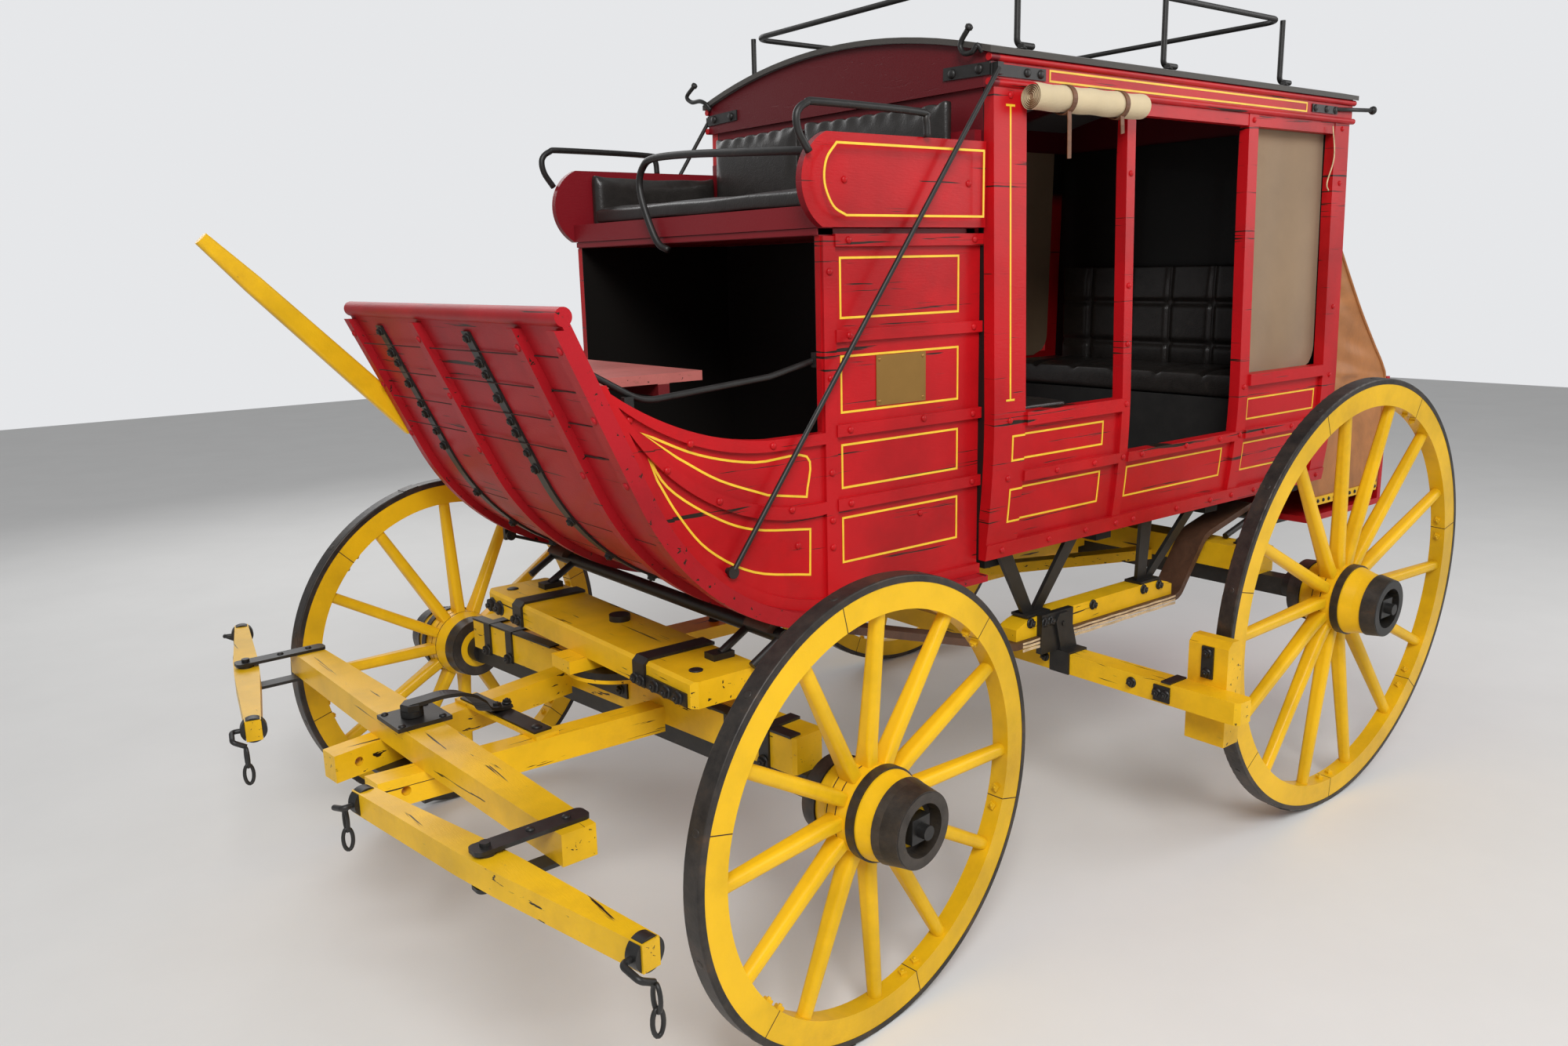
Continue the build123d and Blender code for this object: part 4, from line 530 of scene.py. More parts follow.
# COACH BODY: painted lines, bolt heads and plates
BOOT_FACE, HEADER_FACE, SEAT_FACE = 0.556, 0.594, 0.598  # how far out each face lies
LINE_WIDTH, LINE_THICK = 0.0052, 0.0009


def wall_y(z):
    """Outer face of the cabin's side, which curves in under the belt."""
    if z >= 1.290:
        return 0.600 - 0.018 * (z - 1.290) / 0.798
    drop = (1.290 - z) / 0.386
    return 0.600 + 0.004 * drop - 0.032 * drop * drop


def painted_line(pile, side, points, surface, closed=True, width=LINE_WIDTH):
    """Line of paint along points (x, z) on a side face whose Y is surface(x, z)."""
    places, normals = [], []
    ends = list(zip(points, points[1:] + points[:1]))
    for (x0, z0), (x1, z1) in ends if closed else ends[:-1]:
        pieces = max(1, round(abs(z1 - z0) / 0.02))
        for k in range(pieces):
            x, z = x0 + (x1 - x0) * k / pieces, z0 + (z1 - z0) * k / pieces
            places.append((x, side * surface(x, z), z))
            normals.append((0, side, -(surface(x, z + 0.004) - surface(x, z - 0.004)) / 0.008))
    if not closed:
        x, z = points[-1]
        places.append((x, side * surface(x, z), z))
        normals.append((0, side, 0))
    pile.strip(places, normals, width, LINE_THICK, closed)


def wall_face(x, z):
    """Outer face of the cabin's side, with the post that stands out of it by the door."""
    return wall_y(z) + (0.012 if -0.888 < x < -0.768 else 0.0)


def rectangle(front, low, rear, high):
    return [(front, low), (rear, low), (rear, high), (front, high)]


STEP = (-0.8874, -0.8886)  # stations just before and just behind the post's rear edge
ROUND_BOOT = [
    [(0.241, 1.345), (0.103, 1.284), (-0.045, 1.250), (-0.195, 1.246), (-0.193, 1.152), (-0.081, 1.171),
     (0.051, 1.222), (0.157, 1.284)],
    [(0.238, 1.316), (0.185, 1.225), (0.072, 1.145), (-0.040, 1.098), (-0.202, 1.074), (-0.199, 0.965),
     (-0.036, 1.000), (0.086, 1.072), (0.160, 1.160), (0.209, 1.242)],
]
for side, word in FACES:
    out = (0, side, 0)
    lines = Pile()
    for low, high in ((1.166, 1.230), (1.001, 1.088)):
        painted_line(lines, side, [(-0.840, low), (STEP[0], low), (STEP[1], low), (-1.230, low), (-1.230, high),
                                   (STEP[1], high), (STEP[0], high), (-0.840, high)], wall_face)
        painted_line(lines, side, rectangle(-1.965, low, -2.370, high), wall_face)
    painted_line(lines, side, rectangle(-1.356, 0.999, -1.843, 1.085), wall_face)
    painted_line(lines, side, [(-0.828, 1.325), (-0.828, 2.047)], wall_face, False)
    for z in (1.325, 2.047):
        painted_line(lines, side, [(-0.812, z), (-0.844, z)], wall_face, False)
    painted_line(lines, side, rectangle(-0.975, 2.113, -2.215, 2.138), lambda x, z: HEADER_FACE, width=0.005)
    for low, high in ((1.555, 1.690), (1.337, 1.467), (1.158, 1.260), (0.977, 1.085)):
        painted_line(lines, side, rectangle(-0.303, low, -0.690, high), lambda x, z: BOOT_FACE)
    for outline in ROUND_BOOT:
        points = curve_xz(outline[:5], 5) + curve_xz(outline[5:], 5)
        lines.strip([(x, side * BOOT_FACE, z) for x, z in points], out, LINE_WIDTH, LINE_THICK, True)
    nose = [(-0.288, 1.782), (-0.250, 1.802), (-0.226, 1.850), (-0.232, 1.900), (-0.262, 1.936)]
    seat = [(-0.732, 1.936), (-0.732, 1.782)] + curve_xz(nose, 5)
    lines.strip([(x, side * SEAT_FACE, z) for x, z in seat], out, LINE_WIDTH, LINE_THICK, True)
    lines.make(f"painted_lines_{word}", STRIPE, "yellow_wood")

    heads = Pile()
    wall, boot = f"side_wall_{word}", f"boot_side_{word}"
    spots = [(wall, x, z) for x in (-0.828, -1.318, -1.920, -2.445) for z in (2.071, 1.272, 1.120, 0.925)]
    spots += [(wall, -1.318, z) for z in (1.90, 1.60, 1.44)] + [(wall, -2.445, z) for z in (1.9, 1.5)]
    spots += [(wall, x, z) for x in (-1.02, -1.18, -1.40, -1.62, -1.80, -2.05, -2.22, -2.34) for z in (1.120, 0.925)]
    spots += [(boot, x, z) for x in (-0.735, -0.32) for z in (1.729, 1.515, 1.296, 1.120)]
    spots += [(boot, -0.265, z) for z in (1.66, 1.42, 1.20, 1.086, 1.021)]
    spots += [(boot, x, z) for x, z in
              ((-0.165, 1.040), (-0.090, 1.283), (0.130, 1.312), (0.268, 1.375), (-0.56, 1.060), (-0.56, 1.30),
               (-0.140, 1.130), (0.060, 1.178), (0.190, 1.262))]
    spots += [("driver_seat", x, z) for x, z in ((-0.700, 1.860), (-0.300, 1.860))]
    for node, x, z in spots:
        spot = land(node, (x, side * 0.60, z), out)
        if spot is not None:
            heads.dome(spot, out, 0.0085, 0.0055)
    heads.make(f"red_bolt_heads_{word}", RED, "red_wood")

    iron = Pile()
    y = side * HEADER_FACE
    iron.strip([(-0.955, y, 2.1255), (-0.756, y, 2.1255), (-0.7555, y * 0.999, 2.1255)], out, 0.028, 0.004)
    iron.strip([(-0.7558, y, 2.128), (-0.7558, side * 0.44, 2.132)], AHEAD, 0.030, 0.004)
    iron.strip([(-2.245, y, 2.1255), (-2.400, y, 2.1255)], out, 0.024, 0.004)
    for x in (-0.785, -0.885, -0.935, -2.262, -2.330, -2.385):
        iron.dome((x, side * 0.598, 2.1255), out, 0.011, 0.006)
    for far in (0.560, 0.470):
        iron.dome((-0.752, side * far, 2.130), AHEAD, 0.012, 0.007)
    iron.tube([(-2.390, side * 0.602, 2.128), (-2.618, side * 0.602, 2.138)], 0.0065)
    iron.turned((-2.612, side * 0.602, 2.138), BACK, [(0.005, 0), (0.012, 0.004), (0.014, 0.011), (0.009, 0.019)])
    iron.make(f"body_fittings_{word}", BLACK_IRON)

plate = Pile()
spot = land("boot_side_left", (-0.494, 0.60, 1.403), (0, 1, 0))
plate.block((-0.576, spot.y - 0.001, 1.343), (-0.412, spot.y + 0.0022, 1.463))
plate.make("brass_plate", BRASS)
screws = Pile()
for x in (-0.566, -0.422):
    for z in (1.353, 1.453):
        screws.turned((x, spot.y + 0.002, z), (0, 1, 0), [(0.0045, 0), (0.0045, 0.0008), (0.003, 0.0016)], 10)
screws.make("plate_screws", BRASS)

# FOOTBOARD: plank joints, strap bolts, and bolts on the ribs
FOOT_SLOPE = radians(65)
FOOT_OUT = Vector((sin(FOOT_SLOPE), 0, -cos(FOOT_SLOPE)))
BEND_X, BEND_Z, BEND_RADIUS = -0.300, 1.470, 0.6  # the boot's bottom curves round this line
STRAP_YS = (0.130, -0.410)
JOINT_ENDS = (-0.545, 0.545)


def boot_line(z):
    """Station of the footboard's straight front at a height."""
    return 0.2438 + (z - 1.2164) / tan(FOOT_SLOPE)


gaps, bolts = Pile(), Pile()
for z in (1.300, 1.372, 1.444, 1.516):
    spots = [land("footboard", (boot_line(z), y, z), FOOT_OUT) for y in (-0.585, 0.545)]
    if None not in spots:
        gaps.strip([(s.x, y, s.z) for s, y in zip(spots, JOINT_ENDS)], FOOT_OUT, 0.0026, 0.0004)
for degrees in (13, 26, 39, 52):
    slope = radians(degrees)
    out = Vector((sin(slope), 0, -cos(slope)))
    x, z = BEND_X + BEND_RADIUS * out.x, BEND_Z + BEND_RADIUS * out.z
    spots = [land("footboard", (x, y, z), out) for y in JOINT_ENDS]
    if None not in spots:
        gaps.strip([(s.x, y, s.z) for s, y in zip(spots, JOINT_ENDS)], out, 0.0026, 0.0004)
    for y in STRAP_YS:
        spot = land("boot_irons", (x, y, z), out)
        if spot is not None:
            bolts.bolt(spot, out, 0.015)
for y in STRAP_YS:
    for k, z in enumerate((1.235, 1.275, 1.325, 1.352, 1.408, 1.462, 1.490, 1.545)):
        spot = land("boot_irons", (boot_line(z), y, z), FOOT_OUT)
        if spot is not None:
            bolts.bolt(spot, FOOT_OUT, 0.013 if k % 2 else 0.016)
gaps.make("footboard_joints", GROOVE, "red_wood")
bolts.make("footboard_bolts", BLACK_IRON)
ribs = Pile()
for y in (0.581, 0.400, -0.130, -0.581):
    for z in (1.26, 1.40, 1.54):
        spot = land("footboard", (boot_line(z), y, z), FOOT_OUT)
        ribs.dome(spot, FOOT_OUT, 0.009, 0.005)
ribs.make("footboard_rib_heads", RED_FOOT, "red_wood")

under = Pile()
under.block((-0.750, -0.554, 1.7415), (-0.252, 0.554, 1.7555))
under.block((-0.252, -0.554, 1.7415), (-0.238, 0.554, 1.7555))
under.make("seat_underboard", RED_SEAT, "red_wood")

# SEAT RAILS AND ROOF HOOKS
rails = Pile()
for side in SIDES:
    run = curve_xz([(-0.192, 1.915), (-0.164, 1.955), (-0.160, 1.992), (-0.186, 2.014), (-0.230, 2.019),
                    (-0.520, 2.015), (-0.545, 2.000), (-0.550, 1.960)], 5)
    rails.tube([(x, side * 0.588, z) for x, z in run], 0.0085, 10)
rails.tube(curve([(-0.236, -0.052, 1.722), (-0.222, -0.085, 1.745), (-0.214, -0.128, 1.830), (-0.214, -0.148, 1.895),
                  (-0.214, -0.125, 1.938), (-0.214, -0.070, 1.955), (-0.214, 0.100, 1.951), (-0.214, 0.300, 1.938),
                  (-0.222, 0.500, 1.925), (-0.236, 0.562, 1.918)], 5), 0.0095, 10)
rails = rails.make("driver_rails", BLACK_IRON)
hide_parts("seat_rails")
hooks = Pile()
for path in ([(-0.748, 0.575, 2.166), (-0.738, 0.567, 2.182), (-0.735, 0.553, 2.168), (-0.735, 0.525, 2.170),
              (-0.735, 0.514, 2.193), (-0.735, 0.540, 2.224)],
             [(-0.748, -0.570, 2.160), (-0.738, -0.580, 2.178), (-0.735, -0.610, 2.190), (-0.735, -0.655, 2.192),
              (-0.735, -0.682, 2.212), (-0.735, -0.640, 2.238)]):
    hooks.tube(curve(path, 6), 0.0065, 10)
    hooks.turned(path[-1], Vector(path[-1]) - Vector(path[-2]), [(0.006, -0.004), (0.010, 0.0), (0.010, 0.006),
                                                                   (0.005, 0.010)])
hooks.make("roof_hooks", BLACK_IRON)

# CURTAINS: rolled up at the front window and the door, let down at the rear window
ROLL_Y, ROLL_Z = 0.629, 2.066
ROLL_RADIUS, CORE_RADIUS, ROLL_PITCH = 0.0330, 0.006, 0.0046
ROLL_WIDTH = 0.446
HANG_WIDTH, HANG_DROP = 0.460, 0.792
for side, word in FACES:
    turns = (ROLL_RADIUS - CORE_RADIUS) / ROLL_PITCH
    steps = int(turns * 26)
    spiral = []
    for i in range(steps + 1):
        angle = 2 * pi * turns * i / steps
        radius = CORE_RADIUS + ROLL_PITCH * angle / (2 * pi)
        v, w, _ = polar(radius, angle + 2.2)
        spiral.append((side * (ROLL_Y + v), ROLL_Z + w))
    shape = Pile()
    shape.add([(-0.862 - ROLL_WIDTH * i / 24, y + side * 0.0008 * sin(i * 1.7 + z * 90),
                z + 0.0012 * sin(i * 1.1 + y * 70)) for i in range(25) for y, z in spiral],
              grid_faces(24, steps), True)
    roll = shape.make(f"rolled_curtain_{word}", CREAM, "canvas")
    core = Pile()
    core.tube([(-0.866, side * ROLL_Y, ROLL_Z), (-1.303, side * ROLL_Y, ROLL_Z)], 0.0285, 20)
    core.make(f"curtain_core_{word}", TAN, "canvas")
    ties = Pile()
    for x, tail in ((-0.990, 0.115), (-1.205, 0.045)):
        ties.strip([(x, side * (ROLL_Y + v), ROLL_Z + w) for v, w in circle(0.0352, 24)],
                   [(0, side * v, w) for v, w in circle(1, 24)], 0.016, 0.0016, True, 0.0012)
        ties.strip([(x + 0.004, side * 0.648, 2.038), (x + 0.007, side * 0.652, 2.015),
                    (x + 0.002, side * 0.650, 2.038 - tail)], (0, side, 0), 0.014, 0.0018)
    straps = ties.make(f"curtain_ties_{word}", TIE_LEATHER, "brown_leather")

    rows, columns = 40, 30
    verts = []
    for r in range(rows + 1):
        z = 2.088 - HANG_DROP * r / rows
        corner = max(0.0, 1.376 - z) / 0.080  # how far down the round of the lower rear corner
        rear = -2.402 + 0.080 * (1 - sqrt(max(0.0, 1 - corner * corner)))
        for c in range(columns + 1):
            u = c / columns
            wave = 0.0035 * sin(9 * u + 2.0 * r / rows) * sin(pi * u) * (0.4 + r / rows)
            verts.append((-1.943 + (rear + 1.943) * u, side * (wall_y(z) - 0.0268 + wave), z))
    hang = Pile()
    hang.add(verts, grid_faces(rows, columns), True)
    sheet = hang.make(f"rear_curtain_{word}", TAN, "canvas")
    if side == 1:
        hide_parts("curtains")
    loop = Pile()
    loop.tube(curve([(-2.360, side * 0.607, 2.075), (-2.372, side * 0.612, 1.98), (-2.350, side * 0.606, 1.90),
                     (-2.366, side * 0.604, 1.875)], 6), 0.0022, 6)
    loop.make(f"curtain_string_{word}", STRAP_EDGE, "canvas")

# REAR BOOT LEATHER
BOOT_HALF = 0.534  # half its width
BOOT_FRONT, BOOT_LOW, BOOT_DEEP = -2.506, 0.80, 0.506
LACE_Z = 0.806
edge = [(-3.010, 0.800), (-3.012, 1.000), (-3.012, 1.200), (-2.985, 1.262), (-2.900, 1.350), (-2.790, 1.468),
        (-2.680, 1.600), (-2.580, 1.725), (-2.545, 1.768), (-2.508, 1.790)]
profile = curve([(x, 0, z) for x, z in edge], 7)
count = len(profile)


def cover_point(i, v):
    """Top and back of the boot leather, sagging between its two sides."""
    p = profile[i]
    across = sin(pi * v)
    loose = sin(pi * min(1.0, max(0.0, (p.z - 1.15) / 0.62)))
    fold = (0.006 * sin(11 * v + 0.5 * i) + 0.004 * sin(23 * v - 0.33 * i)
            + 0.003 * sin(0.9 * i + 4 * v))
    sag = across ** 0.7 * loose * (0.030 + fold)
    return (p.x + sag * 0.75, BOOT_HALF * (1 - 2 * v), p.z - sag * 0.66)


columns, deep = 48, 24
main = Pile()
main.add([cover_point(i, c / columns) for i in range(count) for c in range(columns + 1)],
         grid_faces(count - 1, columns), True)
for side in SIDES:
    verts = []
    for i, p in enumerate(profile):
        for c in range(deep + 1):
            u = c / deep
            x = p.x + (BOOT_FRONT - p.x) * u
            slack = sin(pi * u) * sin(pi * min(1.0, (p.z - BOOT_LOW) / 0.99))
            fold = 0.006 * sin(7 * u + 0.4 * i) + 0.004 * sin(0.8 * i - 9 * u)
            verts.append((x, side * (BOOT_HALF - slack * (0.014 + fold)), p.z))
    main.add(verts, grid_faces(count - 1, deep), True)
cover = main.make("rear_boot_leather", BROWN_LEATHER, "brown_leather")
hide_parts("rear_boot_cover")
lacing = Pile()
for side in SIDES:
    y = side * 0.5345
    lacing.strip([(-2.520, y, LACE_Z), (-3.006, y, LACE_Z)], (0, side, 0), 0.030, 0.004)
lace = lacing.make("boot_lacing_edge", YELLOW_LONG, "yellow_wood")
nails = Pile()
for side in SIDES:
    for k in range(13):
        nails.dome((-2.535 - 0.038 * k, side * 0.5385, LACE_Z), (0, side, 0), 0.007, 0.005)
for k in range(19):
    p = cover_point(count - 5, 0.03 + 0.94 * k / 18)
    nails.dome((p[0] - 0.002, p[1], p[2] + 0.001), (-0.64, 0, 0.76), 0.006, 0.004)
nails.make("boot_nails", BLACK_IRON)
seam = Pile()
for side in SIDES:
    seam.tube([(p.x, side * BOOT_HALF, p.z) for p in profile], 0.0055)
seam.make("boot_leather_seams", BROWN_LEATHER, "brown_leather")

# CUSHIONS: blown up by the cloth solver, then stitched
CLOTH_FRAMES = 20
MOST_SWELL = 0.010
CHANNEL_YS = (-0.36, -0.18, 0.0, 0.18, 0.36)
GATHER = 0.058  # spacing of the backrest's gathers


def evaluated(obj):
    """New mesh of an object as its modifiers leave it."""
    return bpy.data.meshes.new_from_object(obj.evaluated_get(bpy.context.evaluated_depsgraph_get()))


def blown(low, high, voxel):
    """Mesh of a plain block, remeshed and blown up by pressure, each point moved by no more than MOST_SWELL."""
    pile = Pile(Matrix.Identity(4))
    pile.block(low, high)
    mesh = bpy.data.meshes.new("stuffing")
    mesh.from_pydata([tuple(v) for v in pile.verts], [], pile.faces)
    obj = new_object("stuffing", mesh)
    remesh = obj.modifiers.new("remesh", "REMESH")
    remesh.mode = "VOXEL"
    remesh.voxel_size = voxel
    obj.data = evaluated(obj)
    obj.modifiers.clear()
    cloth = obj.modifiers.new("cloth", "CLOTH")
    cloth.settings.quality = 4
    cloth.settings.mass = 0.3
    cloth.settings.use_pressure = True
    cloth.settings.uniform_pressure_force = 4.0
    cloth.settings.effector_weights.gravity = 0
    cloth.collision_settings.use_collision = False
    cloth.point_cache.frame_start, cloth.point_cache.frame_end = 1, CLOTH_FRAMES
    for number in range(1, CLOTH_FRAMES + 1):
        bpy.context.scene.frame_set(number)
    soft = evaluated(obj)
    obj.modifiers.clear()
    bpy.context.scene.frame_set(1)
    for vertex in obj.data.vertices:
        move = soft.vertices[vertex.index].co - vertex.co
        if move.length > MOST_SWELL:
            move *= MOST_SWELL / move.length
        vertex.co += move
    smoother = obj.modifiers.new("smoother", "SUBSURF")
    smoother.levels = 1
    final = evaluated(obj)
    bpy.data.objects.remove(obj)
    return final


def cushion(name, low, high, voxel, stitch, nodes=()):
    """Padded leather piece in the coach's frame; stitch moves each of its points (x, y, z)."""
    mesh = blown(low, high, voxel)
    for vertex in mesh.vertices:
        vertex.co = COACH @ Vector(stitch(*vertex.co))
    mesh.shade_smooth()
    mesh.materials.clear()
    mesh.materials.append(BLACK_LEATHER)
    mesh.name = name
    obj = add_piece(name, mesh, "coach")
    if nodes:
        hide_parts(*nodes)


def groove(value, lines, depth, width):
    """Depth at a place of the channels that are stitched along lines."""
    near = min(abs(value - line) for line in lines)
    return depth * exp(-(near / width) ** 2)


def stitch_seat(x, y, z):
    """Thin seat pad with a hollow where the driver sits and a soft front edge."""
    top = max(0.0, (z - 1.825) / 0.027)
    z -= top * 0.007 * exp(-((x + 0.50) / 0.14) ** 2 - ((y - 0.20) / 0.22) ** 2)
    return x, y, z + 0.0012 * sin(31 * x + 17 * y)


def stitch_back(x, y, z):
    """Backrest whose top edge is drawn into small gathers."""
    high = max(0.0, min(1.0, (z - 2.02) / 0.05))
    gather = abs(sin(pi * y / GATHER))
    z += high * (0.007 * gather - 0.004) + 0.010 * exp(-(z - 2.07) ** 2 / 0.004) * cos(2.4 * y)
    x += 0.003 * high * sin(2 * pi * y / GATHER)
    return x + 0.0025 * sin(9 * z + 5 * y), y, z


def stitch_plain(x, y, z):
    """Pad without stitches, a little uneven."""
    return x, y, z + 0.0016 * sin(27 * x + 13 * y)


def stitch_bench(x, y, z):
    """Bench pad with channels across its top."""
    z -= max(0.0, (z - 1.25) / 0.04) * groove(y, CHANNEL_YS, 0.010, 0.012)
    return x, y, z


def stitch_bench_back(x, y, z):
    """Back with channels up and across it, drawn in towards its middle."""
    middle = -0.823 if x > -1.5 else -2.429
    x += (middle - x) * min(0.5, groove(y, CHANNEL_YS, 0.4, 0.012) + groove(z, (1.36, 1.51), 0.4, 0.012))
    return x, y, z


cushion("driver_seat_pad", (-0.696, -0.508, 1.810), (-0.268, 0.508, 1.846), 0.010, stitch_seat,
        ["seat_cushions"])
for low, high, word in ((-0.508, -0.088, "right"), (-0.074, 0.508, "left")):
    cushion(f"driver_seat_back_{word}", (-0.731, low, 1.780), (-0.708, high, 2.062), 0.010, stitch_back)
for side, word in FACES:
    low, high = sorted((side * 0.523, side * 0.553))
    cushion(f"driver_side_pad_{word}", (-0.733, low, 1.782), (-0.284, high, 1.950), 0.010, stitch_plain)
for rear, front, word, nodes in ((-1.172, -0.854, "front", ["bench_cushions"]), (-2.396, -2.068, "rear", [])):
    cushion(f"bench_pad_{word}", (rear, -0.532, 1.214), (front, 0.532, 1.288), 0.014, stitch_bench, nodes)
for rear, front, word in ((-0.844, -0.802, "front"), (-2.450, -2.408, "rear")):
    cushion(f"bench_back_{word}", (rear, -0.514, 1.214), (front, 0.514, 1.654), 0.014, stitch_bench_back)

# WHEELS: felloe joints and nuts, tyre bolts and lap, hub lines and hub ends
FELLOE_HALF = 0.022
# Each end: steered by, spokes, inner and outer edge of the felloes, tread of the tyre, hub's outer rings
WHEELS = {
    "front": (STEER, 12, 0.449, 0.507, 0.523, [(0.0935, 0.0655), (0.0962, 0.0668)]),
    "rear": (0.0, 14, 0.583, 0.645, 0.661, [(0.0870, 0.0905), (0.0905, 0.0915)]),
}
CAP = [(0.0822, 0.1292), (0.0594, 0.1292), (0.0594, 0.0966), (0.047, 0.0963)]
INNER_END = [(0.092, -0.0985), (0.0905, -0.1000), (0.0862, -0.1408), (0.0600, -0.1408)]


def outward(points):
    return [(p[0], p[1], 0) for p in points]


def add_wheel(end, side, word, turn, spokes, inner, outer, tread, collar):
    wheel = wheel_frame(f"wheel_{end}_{word}_spin", side, turn)
    body = f"{end}_{word}_wheel"
    joints, nuts, lap, hub = Pile(wheel), Pile(wheel), Pile(wheel), Pile(wheel)
    for k in range(spokes // 2):
        angle = 2 * pi * (2 * k - 0.5) / spokes
        for face in (1, -1):
            z = face * FELLOE_HALF
            joints.strip([polar(inner, angle, z), polar(outer, angle, z)], (0, 0, face), 0.0022, 0.0003)
        joints.strip([polar(inner, angle, -FELLOE_HALF), polar(inner, angle, FELLOE_HALF)], polar(-1, angle),
                     0.0022, 0.0003)
        for a in (angle - 0.050, angle + 0.050):
            nuts.nut(polar(inner, a), polar(-1, a), 0.016, 0.009)
            nuts.turned(polar(inner - 0.006, a), polar(-1, a), [(0.004, 0), (0.004, 0.006)], 8)
    for z in (-0.055, -0.030):
        ring = [(u, v, z) for u, v in circle(0.1012, 40)]
        joints.strip(ring, outward(ring), 0.0025, 0.0003, True)
    start = 2 * pi * 2.5 / spokes
    arc = [polar(tread, start + a) for a in (0, 0.03, 0.06, 0.09)]
    lap.strip(arc, outward(arc), 0.045, 0.0015)
    for k in range(spokes):
        angle = 2 * pi * (k + 0.5) / spokes
        lap.turned(polar(tread, angle), polar(1, angle), [(0.009, -0.001), (0.009, 0.0004), (0.007, 0.0008)])
    for outline in (collar + CAP, INNER_END):
        hub.add([(u, v, z) for radius, z in outline for u, v in circle(radius, 40)], ring_faces(len(outline), 40))
    hub.make(f"hub_ends_{end}_{word}", BAND_IRON if end == "front" else BLACK_IRON, body=body)
    joints.make(f"wheel_lines_{end}_{word}", GROOVE, "yellow_wood", body)
    nuts.make(f"felloe_nuts_{end}_{word}", YELLOW, "yellow_wood", body)
    lap.make(f"tyre_bolts_{end}_{word}", TYRE, "tyre_steel", body)


for end, sizes in WHEELS.items():
    for side, word in FACES:
        add_wheel(end, side, word, *sizes)

# RUNNING GEAR: edges of the braces, irons, bolts, chain links and plates
edges = Pile()
for side in SIDES:
    for face in (1, -1):
        for layer in range(3):
            y = side * 0.500 + face * 0.046
            run = [(-0.975 - 0.0365 * k, y, 0.5995 + 0.0105 * layer + 0.0008 * sin(2.1 * k + 1.7 * layer))
                   for k in range(21)]
            edges.strip(run, (0, face, 0), 0.0078 - 0.001 * layer, 0.0008)
edges.make("brace_edges", STRAP_EDGE, "brown_leather")


def bolted(name, spots, size, body="coach", basis=COACH, round_head=False):
    """Nuts or round heads set on the surfaces of CAD nodes: (node, spot, direction they stand out)."""
    pile = Pile(basis)
    for node, spot, out in spots:
        where = land(node, spot, out, basis, 0.30)
        if where is None:
            print("no surface for a bolt of", name, "at", spot)
        elif round_head:
            pile.dome(where, out, size / 2, size * 0.3)
        else:
            pile.bolt(where, out, size)
    if pile.faces:
        pile.make(name, BLACK_IRON, body=body)


bed = Pile(GEAR)
for side in SIDES:
    bed.side_block(side, (0.018, 0.27, 0.643), (0.0505, 0.69, 0.6485))
    for y in (0.485, 0.605):
        bed.strip([(-0.050, side * y, 0.6445), (0.0485, side * y, 0.6445), (0.0490, side * y, 0.6440),
                   (0.0490, side * y, 0.552)],
                  [UP, (0.5, 0, 0.86), (0.86, 0, 0.5), AHEAD], 0.032, 0.006)
        bed.bolt((0.056, side * y, 0.566), AHEAD, 0.020)
bed.block((0.0475, -0.088, 0.585), (0.054, 0.088, 0.625))
for y in (-0.062, 0.062):
    bed.bolt((0.054, y, 0.605), AHEAD, 0.016)
bed.make("bed_irons", BLACK_IRON, body="front_gear")

clips = Pile()
for y in (0.315, -0.335):
    clips.strip([(-0.068, y, 0.770), (0.122, y, 0.770), (0.1305, y, 0.762), (0.1305, y, 0.706)],
                [UP, (0.2, 0, 1), (1, 0, 0.2), AHEAD], 0.052, 0.007)
    for across in (-0.014, 0.014):
        clips.bolt((0.1375, y + across, 0.722), AHEAD, 0.016)
clips.block((0.1295, 0.345, 0.707), (0.1355, 0.515, 0.739))
for y in (0.385, 0.435, 0.485):
    clips.bolt((0.1355, y, 0.723), AHEAD, 0.019)
for y in (-0.455, -0.505):
    clips.bolt((0.130, y, 0.730), AHEAD, 0.026)
for y in (0.470, -0.485):
    clips.turned((0.075, y, 0.770), UP, [(0.017, -0.001), (0.017, 0.002), (0.012, 0.004)], 16)
clips.make("bolster_irons", BLACK_IRON)

strap = Pile(GEAR)
path = curve([(0.612, -0.004, 0.700), (0.575, 0.012, 0.706), (0.530, 0.028, 0.712), (0.480, 0.030, 0.700),
              (0.440, 0.018, 0.668), (0.410, 0.000, 0.634), (0.368, -0.016, 0.6205), (0.335, -0.020, 0.6195)], 6)
strap.strip(path, (0.25, 0, 1), 0.034, 0.009)
strap.turned((0.600, 0, 0.690), UP, [(0.026, -0.008), (0.026, 0.016), (0.024, 0.018)], 6, False)
strap.block((0.338, -0.172, 0.6122), (0.386, 0.172, 0.6170))
for y in (-0.145, 0.145):
    strap.dome((0.362, y, 0.6168), UP, 0.013, 0.006)
for x, y in ((0.372, -0.015), (0.342, -0.019)):
    strap.bolt((x, y, 0.630), UP, 0.014)
strap.make("evener_strap", BLACK_IRON, body="front_gear")

screws = [("evener_irons", (x, y, 0.66), UP) for x in (-0.052, 0.046) for y in (-0.050, 0.050)]
screws += [("evener_irons", (x, side * 0.700, 0.66), UP) for side in SIDES for x in (0.000, 0.075)]
bolted("evener_screws", screws, 0.017, "evener_bar", joint_frame("evener_swing", EVENER_DEGREES), True)

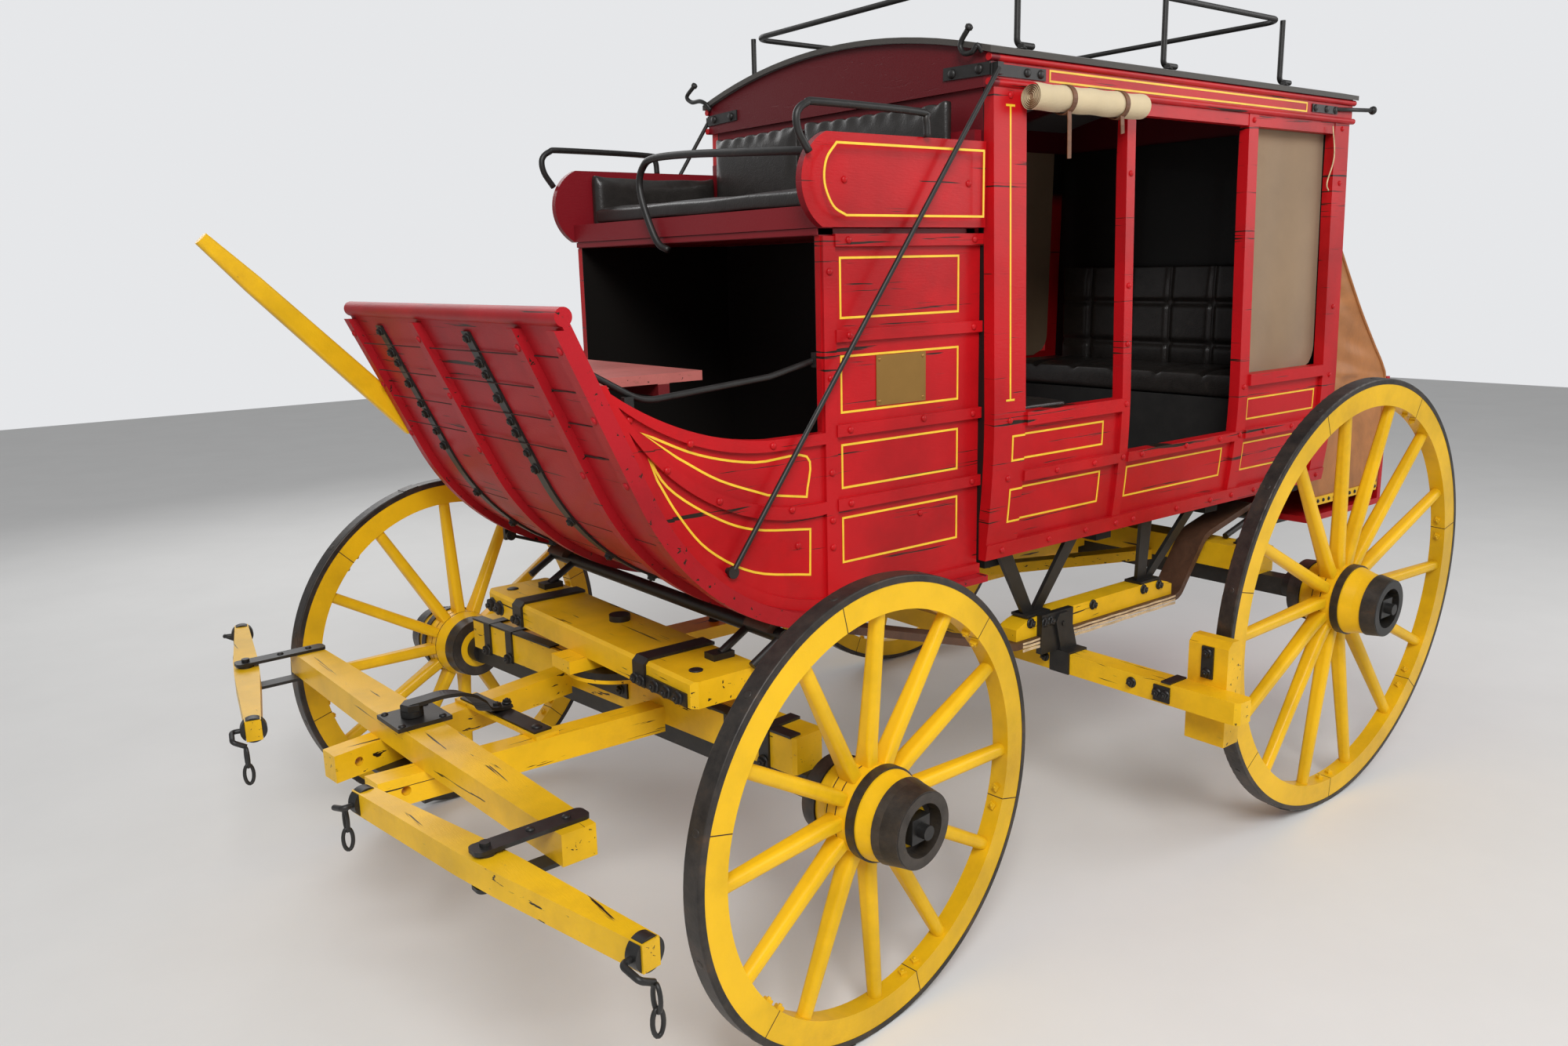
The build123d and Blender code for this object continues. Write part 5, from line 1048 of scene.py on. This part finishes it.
# Two links hang from the eye at each end of a singletree, each turned a quarter from the one above
LINK_DROP, LINK_TALL, LINK_STEPS = 0.042, 0.024, 20
for _, word in FACES:
    links = Pile(Matrix.Identity(4))
    for end in (1, -1):
        eye = max((v.co for v in CAD[f"singletree_{word}_irons"].data.vertices),
                  key=lambda co: end * co.y - 3 * abs(co.z - 0.606))
        for k in range(2):
            angles = [2 * pi * i / LINK_STEPS for i in range(LINK_STEPS + 1)]
            links.tube([(eye.x + 0.010 * sin(a) * k, eye.y + 0.011 * sin(a) * (1 - k),
                         eye.z - 0.022 - LINK_DROP * k + LINK_TALL * cos(a)) for a in angles], 0.0042)
    links.make(f"singletree_links_{word}", BLACK_IRON, body=f"{word}_singletree")
bolted("rear_bed_bolts", [("rear_axle_bed", (-1.934, y, 0.73), BACK) for y in (-0.62, -0.40, -0.15, 0.15, 0.40, 0.62)]
       + [("rear_axle_bed", (-1.934, y, 0.73), UP) for y in (-0.62, 0.62)], 0.022)
bolted("rocker_bolts", [("rockers", (x, side * 0.50, 0.67), (0, side, 0)) for side in SIDES
                        for x in (-1.02, -1.30, -1.55, -1.63)], 0.018)
bolted("reach_bolts", [("reach", (x, 0.0, 0.60), UP) for x in (-0.30, -0.70, -1.10, -1.50)], 0.018)
bolted("roof_rack_nuts", [("roof_deck", (x, side * 0.560, 2.20), UP) for side in SIDES
                          for x in (-0.905, -1.520, -2.130)], 0.016)
wraps, plates = Pile(), Pile()
for side in SIDES:
    wraps.side_block(side, (-1.130, 0.872, 0.512), (-1.1235, 0.922, 0.556))
    for y in (0.884, 0.910):
        wraps.bolt((-1.1235, side * y, 0.534), AHEAD, 0.017)
    wraps.side_block(side, (-1.198, 0.895, 0.5655), (-1.1235, 0.924, 0.5705))
    spot = land("brake_beam", (-1.10, side * 0.985, 0.640), AHEAD, reach=0.30)
    if spot is not None:
        wraps.side_block(side, (spot.x - 0.001, 0.985 - 0.017, 0.585), (spot.x + 0.006, 0.985 + 0.017, 0.672))
        for z in (0.600, 0.655):
            wraps.bolt((spot.x + 0.006, side * 0.985, z), AHEAD, 0.016)
    plates.side_block(side, (-1.186, 0.5325, 0.574), (-1.048, 0.5515, 0.690))
    for x in (-1.060, -1.086):
        plates.bolt((x, side * 0.5515, 0.668), (0, side, 0), 0.017)
plates.make("rocker_plates", BLACK_IRON)
wraps.make("brake_straps", BLACK_IRON, body="brake")
bolted("brake_beam_bolts", [("brake_beam", (-1.163, y, 0.54), AHEAD) for y in (-0.80, -0.50, 0.50, 0.80)], 0.018,
       "brake")

# STUDIO: the photograph's camera, soft lights, and a pale floor
FOCAL_PIXELS, PHOTO_WIDTH, SENSOR = 1508.3, 2000, 36
YAW, PITCH_DOWN, LEAN = -2.2326, -0.2136, 0.0232
camera_data = bpy.data.cameras.new("camera")
camera_data.sensor_width = SENSOR
camera_data.lens = FOCAL_PIXELS * SENSOR / PHOTO_WIDTH
camera = new_object("camera", camera_data)
forward = Vector(polar(cos(PITCH_DOWN), YAW, sin(PITCH_DOWN)))
level = forward.cross(UP).normalized()
below = forward.cross(level)
right = level * cos(LEAN) + below * sin(LEAN)
down = -level * sin(LEAN) + below * cos(LEAN)
turn = Matrix((right, -down, -forward)).transposed().to_4x4()
camera.matrix_world = Matrix.Translation(at(1.5002, 2.6423, 1.6739)) @ turn
bpy.context.scene.camera = camera

world = bpy.data.worlds.new("studio")
bpy.context.scene.world = world
world.use_nodes = True
tree = world.node_tree
sky = tree.nodes["Background"]
sky.inputs["Color"].default_value = (0.92, 0.93, 0.95, 1)
rays = tree.nodes.new("ShaderNodeLightPath")
seen = tree.nodes.new("ShaderNodeMapRange")
seen.inputs["To Min"].default_value = 0.42  # what lights the coach
seen.inputs["To Max"].default_value = 0.86  # what the camera sees behind it
tree.links.new(rays.outputs["Is Camera Ray"], seen.inputs["Value"])
tree.links.new(seen.outputs["Result"], sky.inputs["Strength"])
bpy.context.scene.view_settings.view_transform = "Standard"


def area_light(name, spot, aim, size, power):
    """Square lamp at a spot, turned towards its aim."""
    data = bpy.data.lights.new(name, "AREA")
    data.shape = "RECTANGLE"
    data.size = size
    data.size_y = size
    data.energy = power
    light = new_object(name, data)
    light.location = spot
    light.rotation_euler = (Vector(aim) - Vector(spot)).to_track_quat("-Z", "Y").to_euler()


area_light("key", (3.5, 4.5, 5.0), (0, 0, 0.9), 2.4, 300)
area_light("fill", (-4.5, 4.0, 3.5), (0, 0, 0.9), 3.5, 110)
area_light("back", (0.5, -5.5, 4.0), (0, 0, 1.2), 3.5, 90)

FLOOR_HALF = 14
floor_mesh = bpy.data.meshes.new("studio_floor")
floor_mesh.from_pydata([(x * FLOOR_HALF, y * FLOOR_HALF, 0) for x, y in ((-1, -1), (1, -1), (1, 1), (-1, 1))], [],
                       [(0, 1, 2, 3)])
floor_mesh.materials.append(FLOOR)
new_object("studio_floor", floor_mesh)
